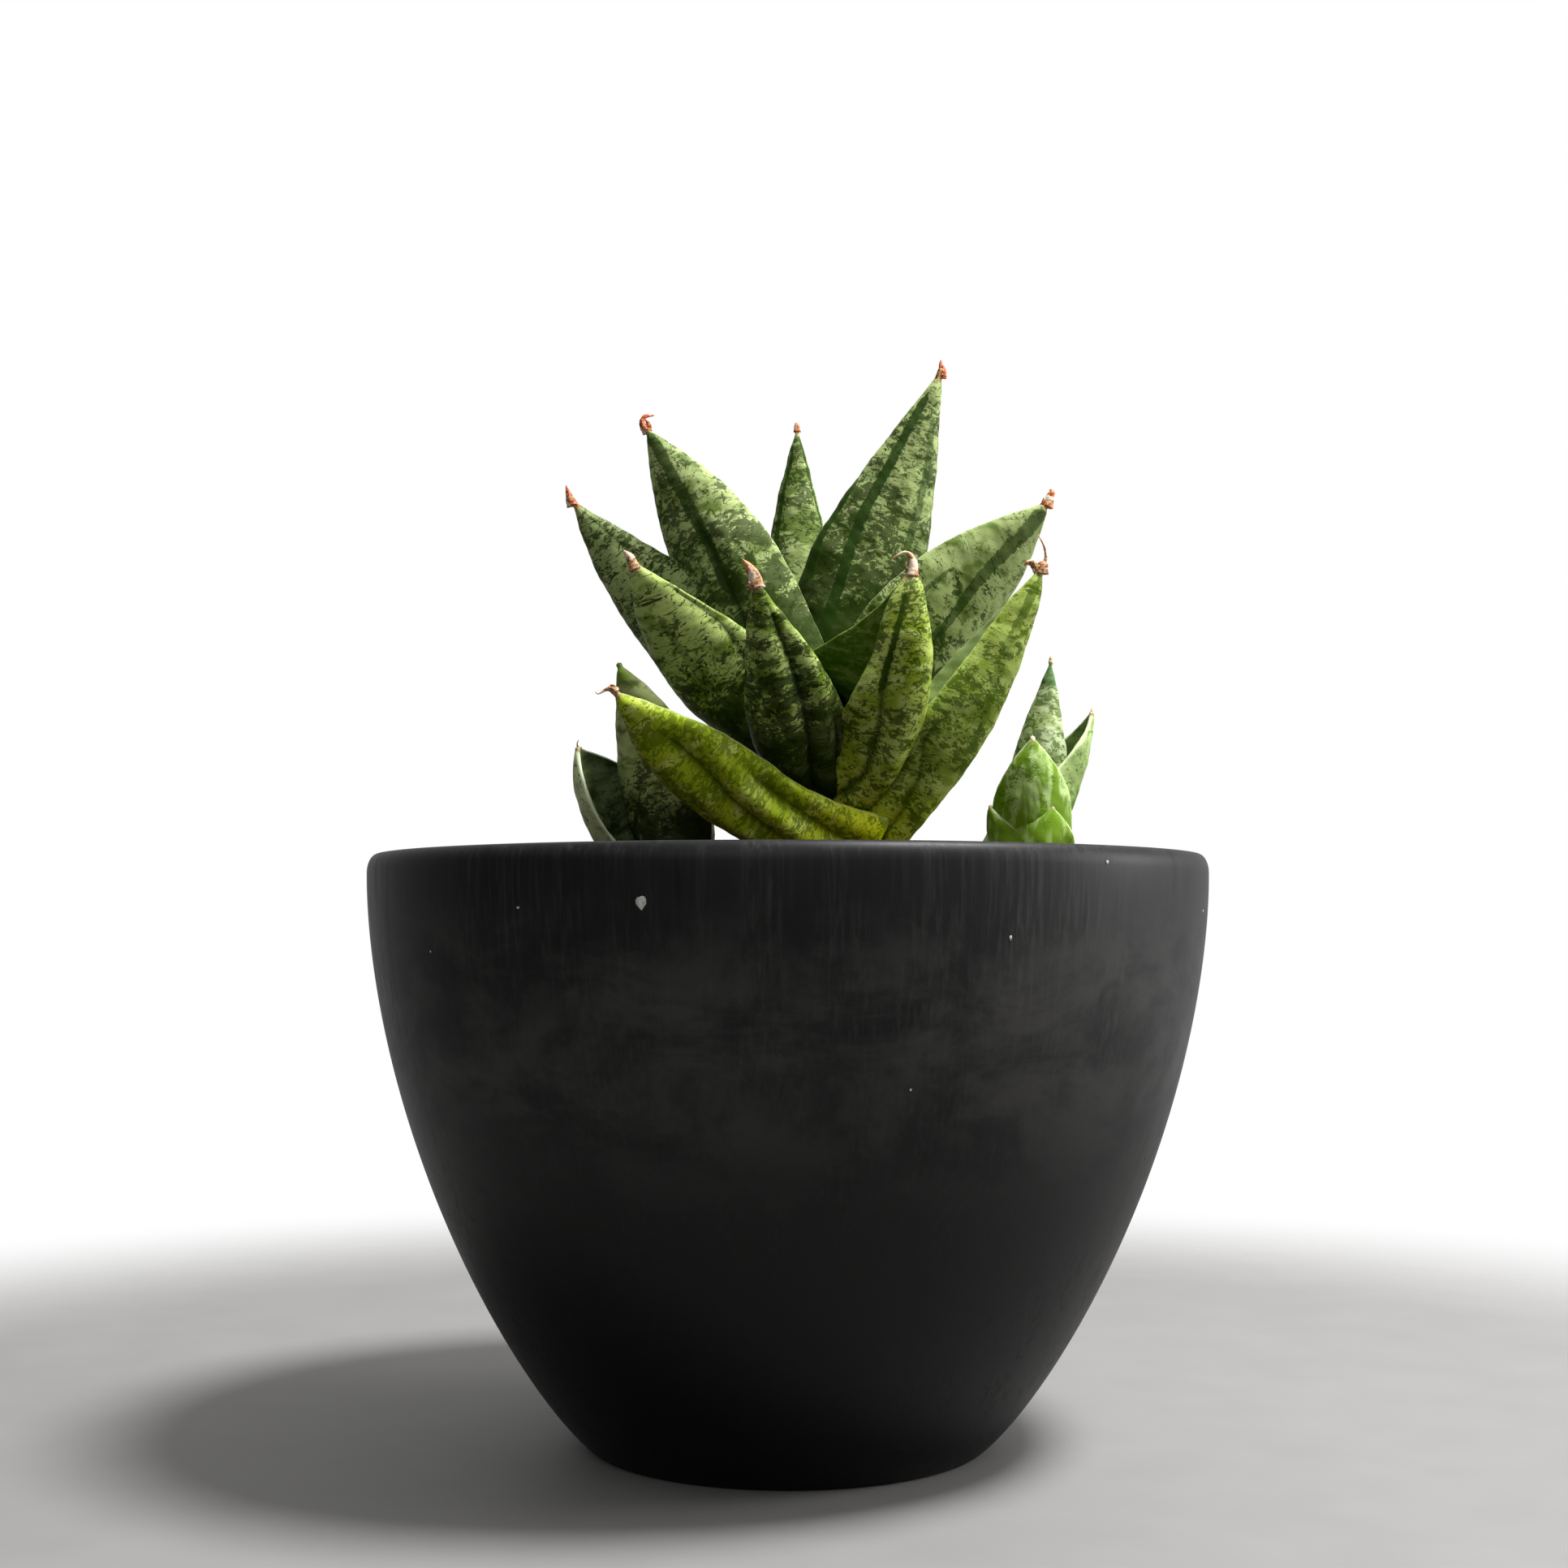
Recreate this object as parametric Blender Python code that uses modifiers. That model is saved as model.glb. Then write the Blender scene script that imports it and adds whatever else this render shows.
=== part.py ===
"""A dwarf snake plant with two pups, in a round bowl-shaped planter.

Metres, +Z up. The origin is the middle of the planter's flat foot, which stands on Z = 0.
The front of the plant, where the two long lower leaves spread, looks along -Y.
"""

import math
from dataclasses import dataclass

import bmesh
import bpy
from mathutils import Vector
from mathutils.bvhtree import BVHTree

# Clearance kept between pieces that touch. A cutter is grown a little more, because its
# corners move along slanted normals.
GAP = 0.0003
GROWTH = 0.0004

# Planter: an 8 inch bowl, measured over its lip
PLANTER_RADIUS = 0.1016
PLANTER_HEIGHT = 0.1406
FOOT_RADIUS = 0.0470
LIP_BOTTOM = 0.1363
LIP_TOP_RADIUS = 0.0992
WALL = 0.0050
FLOOR = 0.0060
BELLY_POWER = 1.75
BELLY_SHARPNESS = 0.82
INNER_LIP_WIDTH = 0.0015
INNER_LIP_DROP = 0.0020
OUTER_STEPS = 15
FOOT_CROWDING = 1.3
INNER_STEPS = 8
ROUND_STEPS = 48

# Potting mix and the short stems that stand in it
SOIL_TOP = 0.1315
STEM_DEPTH = 0.0100
STEM_SIDES = 16

# Leaves. Shares along a leaf run from 0 at its base to 1 at its tip.
LEAF_RINGS = 12
LEAF_SIDES = 12
TIP_CROWDING = 1.15
TIP_RADIUS = 0.0009
WIDEST_AT = 0.43
FACING_SETTLED_AT = 0.60
CHANNEL_SETTLED_AT = 0.45
ROLL_SETTLED_AT = 0.50
CHANNEL_FADES_FROM = 0.60
LEAN_STARTS_OVER = 0.30
LEAN_ENDS_OVER = 0.25
INNER_KEEL = 1.05
THIN_SHARE = 0.35
ROUNDEST = 1.9
OUTER_SHARE = 0.58
INNER_SHARE = 0.42

LEAF_GREEN = (0.13, 0.24, 0.07)
YOUNG_GREEN = (0.20, 0.34, 0.06)
OLD_GREEN = (0.24, 0.31, 0.05)
STEM_GREEN = (0.26, 0.30, 0.10)


@dataclass
class Stem:
    """A short stem: a tapered round core that the leaves clasp."""

    name: str
    foot: tuple
    head: tuple
    foot_radius: float
    head_radius: float


@dataclass
class Leaf:
    """A thick leaf, rounded on its outer side and hollowed on its inner side.

    Its spine is a curve from base to tip, pulled sideways by bow. Angles are in degrees
    from +X. The outer side turns from base_facing to facing over the lower half. channel
    is the hollow's depth as a share of half the width, and keel is how round its bottom
    is. lopsided makes one margin reach farther than the other.
    """

    name: str
    base: tuple
    tip: tuple
    bow: tuple
    facing: float
    width: float
    thickness: float
    fullness: float
    channel: float = 0.3
    base_channel: float = 0.5
    tip_channel: float = 0.4
    keel: float = 0.5
    lopsided: float = 0.0
    base_width: float = 0.75
    base_facing: float = None
    roll: float = 0.0
    colour: tuple = LEAF_GREEN


MAIN_STEM = Stem("main_stem", foot=(0.0130, 0.0030, SOIL_TOP), head=(0.0080, 0.0040, 0.1820),
                 foot_radius=0.0105, head_radius=0.0050)
LEFT_PUP_STEM = Stem("left_pup_stem", foot=(-0.0300, 0.0020, SOIL_TOP),
                     head=(-0.0310, 0.0020, 0.1440), foot_radius=0.0075, head_radius=0.0050)
RIGHT_PUP_STEM = Stem("right_pup_stem", foot=(0.0590, 0.0015, SOIL_TOP),
                      head=(0.0600, 0.0015, 0.1480), foot_radius=0.0065, head_radius=0.0040)

# Each plant's leaves run from the innermost to the outermost, because an outer leaf clasps
# the ones before it.
MAIN_LEAVES = [
    Leaf("heart_leaf", base=(0.0060, 0.0070, 0.1780), tip=(-0.0015, 0.0075, 0.2165),
         bow=(-0.0020, 0, 0), facing=-90, width=0.0100, thickness=0.0050, fullness=1.6,
         channel=0.2, colour=YOUNG_GREEN),
    Leaf("top_back_leaf", base=(0.0040, 0.0100, 0.1850), tip=(0.0025, 0.0220, 0.2530),
         bow=(-0.0010, 0.0040, 0), facing=-90, width=0.0160, thickness=0.0055, fullness=1.5,
         channel=0.2),
    Leaf("top_right_leaf", base=(0.0070, 0.0020, 0.1780), tip=(0.0385, 0.0, 0.2625),
         bow=(-0.0010, 0, -0.0040), facing=-80, width=0.0295, thickness=0.0075, fullness=1.3,
         channel=0.25, base_channel=0.4),
    Leaf("top_left_leaf", base=(0.0050, -0.0050, 0.1720), tip=(-0.0345, -0.0100, 0.2450),
         bow=(-0.0020, -0.0020, 0.0075), facing=-100, width=0.0265, thickness=0.0070,
         fullness=1.7, channel=0.25),
    Leaf("right_leaf", base=(0.0100, 0.0030, 0.1740), tip=(0.0645, -0.0020, 0.2285),
         bow=(0.0030, 0, -0.0003), facing=-70, width=0.0290, thickness=0.0070, fullness=2.0,
         channel=0.3),
    Leaf("left_leaf", base=(0.0070, 0.0020, 0.1700), tip=(-0.0530, -0.0080, 0.2280),
         bow=(-0.0040, 0, -0.0060), facing=-105, width=0.0270, thickness=0.0070, fullness=1.6,
         channel=0.3),
    Leaf("back_leaf", base=(0.0080, 0.0100, 0.1640), tip=(0.0065, 0.0460, 0.2125),
         bow=(0, 0.0080, -0.0040), facing=90, width=0.0260, thickness=0.0070, fullness=1.6,
         channel=0.4),
    Leaf("mid_left_leaf", base=(0.0095, -0.0040, 0.1600), tip=(-0.0365, -0.0300, 0.2090),
         bow=(-0.0080, -0.0030, -0.0040), facing=-112, width=0.0290, thickness=0.0070,
         fullness=1.8, channel=0.3),
    Leaf("back_right_leaf", base=(0.0140, 0.0090, 0.1600), tip=(0.0475, 0.0420, 0.2140),
         bow=(0.0050, 0.0050, -0.0050), facing=50, width=0.0250, thickness=0.0070, fullness=1.6,
         channel=0.4),
    Leaf("back_left_leaf", base=(0.0070, 0.0090, 0.1570), tip=(-0.0265, 0.0450, 0.2010),
         bow=(-0.0040, 0.0050, -0.0050), facing=135, width=0.0250, thickness=0.0070, fullness=1.6,
         channel=0.4),
    Leaf("front_left_leaf", base=(0.0075, -0.0070, 0.1500), tip=(-0.0075, -0.0440, 0.2025),
         bow=(0.0010, -0.0080, -0.0050), facing=-97, width=0.0230, thickness=0.0080, fullness=1.5,
         channel=0.4, base_channel=0.7, base_width=0.7),
    Leaf("front_right_leaf", base=(0.0080, -0.0090, 0.1490), tip=(0.0285, -0.0360, 0.2065),
         bow=(0.0190, -0.0080, -0.0130), facing=-8, width=0.0175, thickness=0.0065, fullness=2.3,
         channel=2.6, base_channel=0.7, tip_channel=1.0, keel=0.24, lopsided=0.32,
         base_width=1.1, base_facing=-65),
    Leaf("lower_right_leaf", base=(0.0150, -0.0075, 0.1385), tip=(0.0605, -0.0220, 0.2090),
         bow=(0.0085, -0.0050, -0.0150), facing=-30, width=0.0210, thickness=0.0065, fullness=1.7,
         channel=1.5, base_channel=0.7, tip_channel=1.2, keel=0.3, lopsided=0.15, base_width=0.9,
         base_facing=-75, roll=20, colour=OLD_GREEN),
    Leaf("lower_back_leaf", base=(0.0130, 0.0100, 0.1440), tip=(0.0090, 0.0560, 0.1885),
         bow=(0, 0.0060, -0.0050), facing=95, width=0.0230, thickness=0.0070, fullness=1.6,
         channel=0.4, colour=OLD_GREEN),
    Leaf("lower_left_leaf", base=(0.0135, -0.0070, 0.14), tip=(-0.0400, -0.0360, 0.1776),
         bow=(0, -0.0050, -0.0095), facing=-105, width=0.0245, thickness=0.0085, fullness=2.4,
         base_channel=0.4, base_width=1.3, colour=OLD_GREEN),
]

LEFT_PUP_LEAVES = [
    Leaf("left_pup_tall_leaf", base=(-0.0290, 0.0, 0.1345), tip=(-0.0415, -0.0040, 0.1880),
         bow=(0.0045, -0.0020, 0.0020), facing=-115, width=0.0235, thickness=0.0060, fullness=1.7),
    Leaf("left_pup_outer_leaf", base=(-0.0355, 0.0030, 0.1345), tip=(-0.0515, -0.0020, 0.1675),
         bow=(-0.0060, 0.0020, -0.0050), facing=150, width=0.0270, thickness=0.0035, fullness=3.4,
         channel=0.7, base_channel=0.6, tip_channel=1.0),
    Leaf("left_pup_back_leaf", base=(-0.0310, 0.0060, 0.1345), tip=(-0.0390, 0.0230, 0.1640),
         bow=(0, 0.0040, -0.0040), facing=110, width=0.0150, thickness=0.0045, fullness=1.5,
         channel=0.5),
    Leaf("left_pup_low_leaf", base=(-0.0270, 0.0030, 0.1345), tip=(-0.0195, 0.0120, 0.1510),
         bow=(0.0020, 0.0020, -0.0030), facing=30, width=0.0150, thickness=0.0045, fullness=1.5,
         channel=0.4),
]

RIGHT_PUP_LEAVES = [
    Leaf("right_pup_tall_leaf", base=(0.0590, 0.0020, 0.1345), tip=(0.0655, 0.0020, 0.1895),
         bow=(0, 0, 0), facing=-95, width=0.0150, thickness=0.0060, fullness=1.4),
    Leaf("right_pup_outer_leaf", base=(0.0590, 0.0070, 0.1345), tip=(0.0757, 0.0035, 0.1768),
         bow=(0.0030, 0, -0.0045), facing=2, width=0.0200, thickness=0.0035, fullness=3.0,
         channel=0.9, base_channel=0.6, roll=10, colour=YOUNG_GREEN),
    Leaf("right_pup_front_leaf", base=(0.0600, -0.0030, 0.1345), tip=(0.0595, -0.0080, 0.1695),
         bow=(0, -0.0050, 0), facing=-90, width=0.0195, thickness=0.0040, fullness=2.1,
         channel=0.45, base_channel=0.7, base_width=1.0, colour=YOUNG_GREEN),
    Leaf("right_pup_sheath_leaf", base=(0.0580, -0.0040, 0.1335), tip=(0.0640, -0.0085, 0.1525),
         bow=(0, -0.0045, -0.0030), facing=-80, width=0.0225, thickness=0.0030, fullness=3.2,
         channel=0.8, base_channel=0.8, base_width=0.95, colour=YOUNG_GREEN),
    Leaf("right_pup_scale_leaf", base=(0.0560, -0.0040, 0.1335), tip=(0.0495, -0.0050, 0.1530),
         bow=(-0.0020, 0, -0.0030), facing=-150, width=0.0150, thickness=0.0030, fullness=1.8,
         channel=0.7, base_channel=0.8, base_width=0.95, colour=YOUNG_GREEN),
]

PLANTS = [
    (MAIN_STEM, MAIN_LEAVES),
    (LEFT_PUP_STEM, LEFT_PUP_LEAVES),
    (RIGHT_PUP_STEM, RIGHT_PUP_LEAVES),
]


# Scene set-up and small helpers

def clear_scene():
    for obj in list(bpy.data.objects):
        bpy.data.objects.remove(obj, do_unlink=True)


def new_collection(name, hidden=False):
    collection = bpy.data.collections.new(name)
    collection.hide_render = hidden
    bpy.context.scene.collection.children.link(collection)
    return collection


def new_material(name, colour, roughness):
    material = bpy.data.materials.new(name)
    material.use_nodes = True
    shader = material.node_tree.nodes["Principled BSDF"]
    shader.inputs["Base Color"].default_value = (*colour, 1.0)
    shader.inputs["Roughness"].default_value = roughness
    shader.inputs["Metallic"].default_value = 0.0
    return material


def add_piece(name, mesh, collection, material, origin, location=(0, 0, 0)):
    obj = bpy.data.objects.new(name, mesh)
    obj.location = location
    obj.parent = origin
    mesh.materials.append(material)
    collection.objects.link(obj)
    return obj


def add_cutter(obj, collection):
    """A hidden copy of a piece, grown outwards, to cut its neighbours with clearance."""
    shape = bmesh.new()
    shape.from_mesh(obj.data)
    shape.normal_update()
    for vertex in shape.verts:
        vertex.co += vertex.normal * GROWTH
    mesh = bpy.data.meshes.new(obj.name + "_grown")
    shape.to_mesh(mesh)
    shape.free()
    cutter = bpy.data.objects.new(mesh.name, mesh)
    cutter.location = obj.location
    cutter.hide_render = True
    cutter.display_type = "WIRE"
    collection.objects.link(cutter)
    return cutter


def cut(obj, cutter):
    boolean = obj.modifiers.new("cut_by_" + cutter.name, "BOOLEAN")
    boolean.operation = "DIFFERENCE"
    boolean.solver = "EXACT"
    boolean.object = cutter


def smoothstep(x):
    x = min(max(x, 0.0), 1.0)
    return x * x * (3 - 2 * x)


def mix(a, b, share):
    return a + (b - a) * share


# Planter and potting mix: profiles turned about the Z axis

def outer_radius(z):
    share = min(z / LIP_BOTTOM, 1.0)
    belly = (1 - (1 - share) ** BELLY_POWER) ** BELLY_SHARPNESS
    return FOOT_RADIUS + (PLANTER_RADIUS - FOOT_RADIUS) * belly


def inner_radius(z):
    """The outer curve moved in by the wall, measured square to the wall."""
    step = 0.0005
    slope = (outer_radius(z + step) - outer_radius(z - step)) / (2 * step)
    return outer_radius(z) - WALL * math.hypot(1, slope)


def inner_heights():
    return [mix(FLOOR, SOIL_TOP, i / INNER_STEPS) for i in range(INNER_STEPS + 1)]


def outer_heights():
    """From the lip down, closer together near the foot, where the bowl turns in fastest."""
    return [LIP_BOTTOM * (i / OUTER_STEPS) ** FOOT_CROWDING for i in range(OUTER_STEPS, -1, -1)]


def quarter_round(centre, width, height, start, end, steps):
    points = []
    for i in range(steps + 1):
        angle = math.radians(mix(start, end, i / steps))
        points.append((centre[0] + width * math.cos(angle), centre[1] + height * math.sin(angle)))
    return points


def planter_profile():
    """From the middle of the inside floor, up the inside, over the lip and down the outside."""
    inside = [(inner_radius(z), z) for z in inner_heights()]
    inner_corner = (inner_radius(LIP_BOTTOM) + INNER_LIP_WIDTH, PLANTER_HEIGHT - INNER_LIP_DROP)
    inner_lip = quarter_round(inner_corner, INNER_LIP_WIDTH, INNER_LIP_DROP, 180, 90, steps=3)
    outer_corner = (LIP_TOP_RADIUS, LIP_BOTTOM)
    lip_width = PLANTER_RADIUS - LIP_TOP_RADIUS
    lip_drop = PLANTER_HEIGHT - LIP_BOTTOM
    outer_lip = quarter_round(outer_corner, lip_width, lip_drop, 90, 0, steps=4)
    outside = [(outer_radius(z), z) for z in outer_heights()[1:]]
    return [(0, FLOOR)] + inside + inner_lip + outer_lip + outside + [(0, 0)]


def potting_mix_profile():
    """Fills the bowl up to the soil line, a gap away from the wall and the floor."""
    side = [(inner_radius(z) - GAP, z) for z in reversed(inner_heights())]
    bottom = FLOOR + GAP
    side[-1] = (side[-1][0], bottom)
    return [(0, SOIL_TOP)] + side + [(0, bottom)]


def add_turned(name, profile, collection, material, origin):
    mesh = bpy.data.meshes.new(name)
    edges = [(i, i + 1) for i in range(len(profile) - 1)]
    mesh.from_pydata([(r, 0, z) for r, z in profile], edges, [])
    obj = add_piece(name, mesh, collection, material, origin)
    screw = obj.modifiers.new("turn", "SCREW")
    screw.axis = "Z"
    screw.steps = ROUND_STEPS
    screw.render_steps = ROUND_STEPS
    screw.use_merge_vertices = True
    screw.merge_threshold = 0.0001
    screw.use_smooth_shade = True
    return obj


# Stems

def stem_mesh(stem):
    """A tapered round bar from below the soil line up to the heart of the leaves."""
    rise = Vector(stem.head) - Vector(stem.foot)
    axis = rise.normalized()
    start = -axis * STEM_DEPTH
    shape = bmesh.new()
    bmesh.ops.create_cone(
        shape,
        cap_ends=True,
        segments=STEM_SIDES,
        radius1=stem.foot_radius,
        radius2=stem.head_radius,
        depth=rise.length + STEM_DEPTH,
    )
    turn = axis.to_track_quat("Z", "Y").to_matrix()
    bmesh.ops.rotate(shape, cent=(0, 0, 0), matrix=turn, verts=shape.verts)
    bmesh.ops.translate(shape, vec=(start + rise) / 2, verts=shape.verts)
    mesh = bpy.data.meshes.new(stem.name)
    shape.to_mesh(mesh)
    shape.free()
    return mesh


# Leaves: lofts between rings whose outline changes from a clasping base to a round tip

def spine(leaf, share):
    """Point, measured from the base, and direction on the curve from base to tip."""
    reach = Vector(leaf.tip) - Vector(leaf.base)
    pull = reach / 2 + Vector(leaf.bow)
    point = pull * 2 * share * (1 - share) + reach * share**2
    direction = pull * (1 - share) + (reach - pull) * share
    return point, direction.normalized()


def half_width(leaf, share):
    if share < WIDEST_AT:
        spread = mix(leaf.base_width, 1.0, math.sin(math.pi / 2 * share / WIDEST_AT))
    else:
        spread = 1 - (1 - (1 - share) / (1 - WIDEST_AT)) ** leaf.fullness
    return max(leaf.width / 2 * spread, TIP_RADIUS)


def channel_depth(leaf, share, width):
    depth = mix(leaf.base_channel, leaf.channel, smoothstep(share / CHANNEL_SETTLED_AT))
    fade = smoothstep((share - CHANNEL_FADES_FROM) / (1 - CHANNEL_FADES_FROM))
    return depth * width * mix(1.0, leaf.tip_channel, fade)


def channel_point(across, offset, width, depth, keel):
    """A point beside a channel, whose section is a V with a rounded keel.

    offset is measured square to the channel, and is positive on its inner side, where a
    rounder keel turns the offset's direction more gently.
    """
    span = math.hypot(1, keel) - keel
    root = math.hypot(across, keel)
    turn = math.hypot(across, keel if offset < 0 else INNER_KEEL)
    slope = depth * across / (turn * span * width)
    steepness = math.hypot(1, slope)
    sideways = width * across - offset * slope / steepness
    inwards = depth * (root - keel) / span + offset / steepness
    return sideways, inwards


def ring_axes(leaf, share, direction):
    """The leaf's sideways and inward directions at this place on its spine."""
    start = leaf.facing if leaf.base_facing is None else leaf.base_facing
    facing = math.radians(mix(start, leaf.facing, smoothstep(share / FACING_SETTLED_AT)))
    level = Vector((-math.sin(facing), math.cos(facing), 0))
    side = (level - direction * direction.dot(level)).normalized()
    inward = direction.cross(side)
    roll = math.radians(leaf.roll) * smoothstep(share / ROLL_SETTLED_AT)
    rolled_side = side * math.cos(roll) + inward * math.sin(roll)
    rolled_inward = inward * math.cos(roll) - side * math.sin(roll)
    return rolled_side, rolled_inward


def leaf_ring(leaf, share):
    point, direction = spine(leaf, share)
    side, inward = ring_axes(leaf, share, direction)
    width = half_width(leaf, share)
    slenderness = min(width / (leaf.width / 2), 1.0)
    thickness = min(leaf.thickness * mix(THIN_SHARE, 1.0, slenderness), ROUNDEST * width)
    depth = channel_depth(leaf, share, width)
    lean = leaf.lopsided * smoothstep(share / LEAN_STARTS_OVER)
    lean *= smoothstep((1 - share) / LEAN_ENDS_OVER)
    ring = []
    for i in range(LEAF_SIDES):
        angle = 2 * math.pi * i / LEAF_SIDES
        across = math.cos(angle) * (1 + lean * math.cos(angle))
        offset = thickness * math.sin(angle)
        offset *= OUTER_SHARE if offset < 0 else INNER_SHARE
        sideways, inwards = channel_point(across, offset, width, depth, leaf.keel)
        ring.append(point + side * sideways + inward * inwards)
    return ring


def leaf_mesh(leaf):
    shape = bmesh.new()
    rings = []
    for i in range(LEAF_RINGS):
        share = 1 - (1 - i / (LEAF_RINGS - 1)) ** TIP_CROWDING
        rings.append([shape.verts.new(point) for point in leaf_ring(leaf, share)])
    for lower, upper in zip(rings, rings[1:]):
        for i in range(LEAF_SIDES):
            j = (i + 1) % LEAF_SIDES
            shape.faces.new((lower[i], lower[j], upper[j], upper[i]))
    shape.faces.new(rings[0][::-1])
    shape.faces.new(rings[-1])
    bmesh.ops.triangulate(shape, faces=shape.faces)
    bmesh.ops.recalc_face_normals(shape, faces=shape.faces)
    mesh = bpy.data.meshes.new(leaf.name)
    shape.to_mesh(mesh)
    shape.free()
    return mesh


def surface_tree(obj):
    points = [obj.location + vertex.co for vertex in obj.data.vertices]
    return BVHTree.FromPolygons(points, [tuple(face.vertices) for face in obj.data.polygons])


def bodies_of(shape):
    """The connected groups of vertices in a bmesh."""
    bodies = []
    waiting = set(shape.verts)
    while waiting:
        body = set()
        fringe = [waiting.pop()]
        while fringe:
            vertex = fringe.pop()
            body.add(vertex)
            neighbours = (edge.other_vert(vertex) for edge in vertex.link_edges)
            fringe += [neighbour for neighbour in neighbours if neighbour not in body]
        waiting -= body
        bodies.append(body)
    return bodies


def keep_largest_body(obj):
    """Applies the cuts and drops any crumb that they left loose."""
    bpy.context.view_layer.update()
    evaluated = obj.evaluated_get(bpy.context.evaluated_depsgraph_get())
    mesh = bpy.data.meshes.new_from_object(evaluated)
    obj.modifiers.clear()
    shape = bmesh.new()
    shape.from_mesh(mesh)
    largest = max(bodies_of(shape), key=len)
    crumbs = [vertex for vertex in shape.verts if vertex not in largest]
    bmesh.ops.delete(shape, geom=crumbs, context="VERTS")
    bmesh.ops.triangulate(shape, faces=shape.faces)
    shape.to_mesh(mesh)
    shape.free()
    mesh.shade_smooth()
    mesh.set_sharp_from_angle(angle=math.radians(40))
    obj.data = mesh


def add_plant(stem, leaves, parts, cutters, origin):
    """A stem and its leaves. Each leaf is cut back where it clasps an inner piece.

    Returns the cutter that makes room for the stem in the potting mix.
    """
    stem_material = new_material(stem.name, STEM_GREEN, 0.5)
    stem_piece = add_piece(stem.name, stem_mesh(stem), parts, stem_material, origin, stem.foot)
    inner = [add_cutter(stem_piece, cutters)]
    for leaf in leaves:
        material = new_material(leaf.name, leaf.colour, 0.45)
        piece = add_piece(leaf.name, leaf_mesh(leaf), parts, material, origin, leaf.base)
        cutter = add_cutter(piece, cutters)
        surface = surface_tree(piece)
        for earlier in inner:
            if surface.overlap(surface_tree(earlier)):
                cut(piece, earlier)
        keep_largest_body(piece)
        inner.append(cutter)
    return inner[0]


def main():
    clear_scene()
    parts = new_collection("potted_snake_plant")
    cutters = new_collection("cutters", hidden=True)
    origin = bpy.data.objects.new("planter_foot_centre", None)
    parts.objects.link(origin)

    planter_material = new_material("planter", (0.022, 0.022, 0.024), 0.55)
    add_turned("planter", planter_profile(), parts, planter_material, origin)
    soil_material = new_material("potting_mix", (0.035, 0.024, 0.017), 0.95)
    soil = add_turned("potting_mix", potting_mix_profile(), parts, soil_material, origin)
    for stem, leaves in PLANTS:
        cut(soil, add_plant(stem, leaves, parts, cutters, origin))


main()
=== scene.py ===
"""Looks for the potted snake plant: leaves, dry tips, planter, potting mix, light and camera.

Metres, +Z up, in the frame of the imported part. Marks on the leaves are in millimetres.
"""

import math
import random
from dataclasses import dataclass, field

import bmesh
import bpy
import numpy as np
from mathutils import Euler, Matrix, Vector, noise


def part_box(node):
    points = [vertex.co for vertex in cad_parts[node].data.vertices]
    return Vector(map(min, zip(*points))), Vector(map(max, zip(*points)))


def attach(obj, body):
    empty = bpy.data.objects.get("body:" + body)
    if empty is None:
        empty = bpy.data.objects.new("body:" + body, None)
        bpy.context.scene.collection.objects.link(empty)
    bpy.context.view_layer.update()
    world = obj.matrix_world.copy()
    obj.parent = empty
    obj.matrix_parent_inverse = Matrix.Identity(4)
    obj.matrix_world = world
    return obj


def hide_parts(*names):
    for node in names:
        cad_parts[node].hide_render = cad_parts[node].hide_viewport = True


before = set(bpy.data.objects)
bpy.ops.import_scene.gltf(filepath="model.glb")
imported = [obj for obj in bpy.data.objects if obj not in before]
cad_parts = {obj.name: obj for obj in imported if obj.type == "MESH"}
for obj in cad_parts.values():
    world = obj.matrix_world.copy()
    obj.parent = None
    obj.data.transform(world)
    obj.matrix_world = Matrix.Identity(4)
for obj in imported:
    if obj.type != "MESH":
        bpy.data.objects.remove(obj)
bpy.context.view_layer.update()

MM = 0.001

# Planter, from its node's box; the shares and wall are those of the part
PLANTER_LOW, PLANTER_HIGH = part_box("planter")
PLANTER_RADIUS = PLANTER_HIGH[0]
PLANTER_HEIGHT = PLANTER_HIGH[2]
SOIL_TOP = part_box("potting_mix")[1][2]
FOOT_RADIUS = 0.0470
LIP_BOTTOM = 0.1363
LIP_TOP_RADIUS = 0.0992
WALL = 0.0050
FLOOR = 0.0060
BELLY_POWER = 1.75
BELLY_SHARPNESS = 0.82
ROUND_STEPS = 288

# Leaves. Shares along a leaf run from 0 at its base to 1 at its tip.
RING_STEP = 0.62
SIDE_STEP = 0.46
FAR_STEP = 1.5
INNER_POINTS_SHARE = 0.40
TIP_CROWDING = 1.15
TIP_RADIUS = 0.0009
TIP_SHARE = 0.03
WIDEST_AT = 0.43
FACING_SETTLED_AT = 0.60
CHANNEL_SETTLED_AT = 0.45
ROLL_SETTLED_AT = 0.50
CHANNEL_FADES_FROM = 0.60
LEAN_STARTS_OVER = 0.30
LEAN_ENDS_OVER = 0.25
INNER_KEEL = 1.05
THIN_SHARE = 0.35
ROUNDEST = 1.9
OUTER_SHARE = 0.58
INNER_SHARE = 0.42

# Beside a fold the skin swells, by a share of the fold's depth, at this many reaches away
PILLOW_SHARE = 0.35
PILLOW_AT = 2.4
PILLOW_WIDTH = 1.5

# Where along a leaf its mottle has changed over to that of the tip
PATTERN_SETTLED_AT = 0.8


@dataclass
class Leaf:
    """A thick leaf, as in the part: rounded on its outer side, hollowed on its inner side."""

    name: str
    base: tuple
    tip: tuple
    bow: tuple
    facing: float
    width: float
    thickness: float
    fullness: float
    channel: float = 0.3
    base_channel: float = 0.5
    tip_channel: float = 0.4
    keel: float = 0.5
    lopsided: float = 0.0
    base_width: float = 0.75
    base_facing: float = None
    roll: float = 0.0


@dataclass
class Stripe:
    """A dark stripe on the outer side. Its route is places (share along, share across)."""

    route: list
    half_widths: tuple
    strength: float = 1.0


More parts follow.
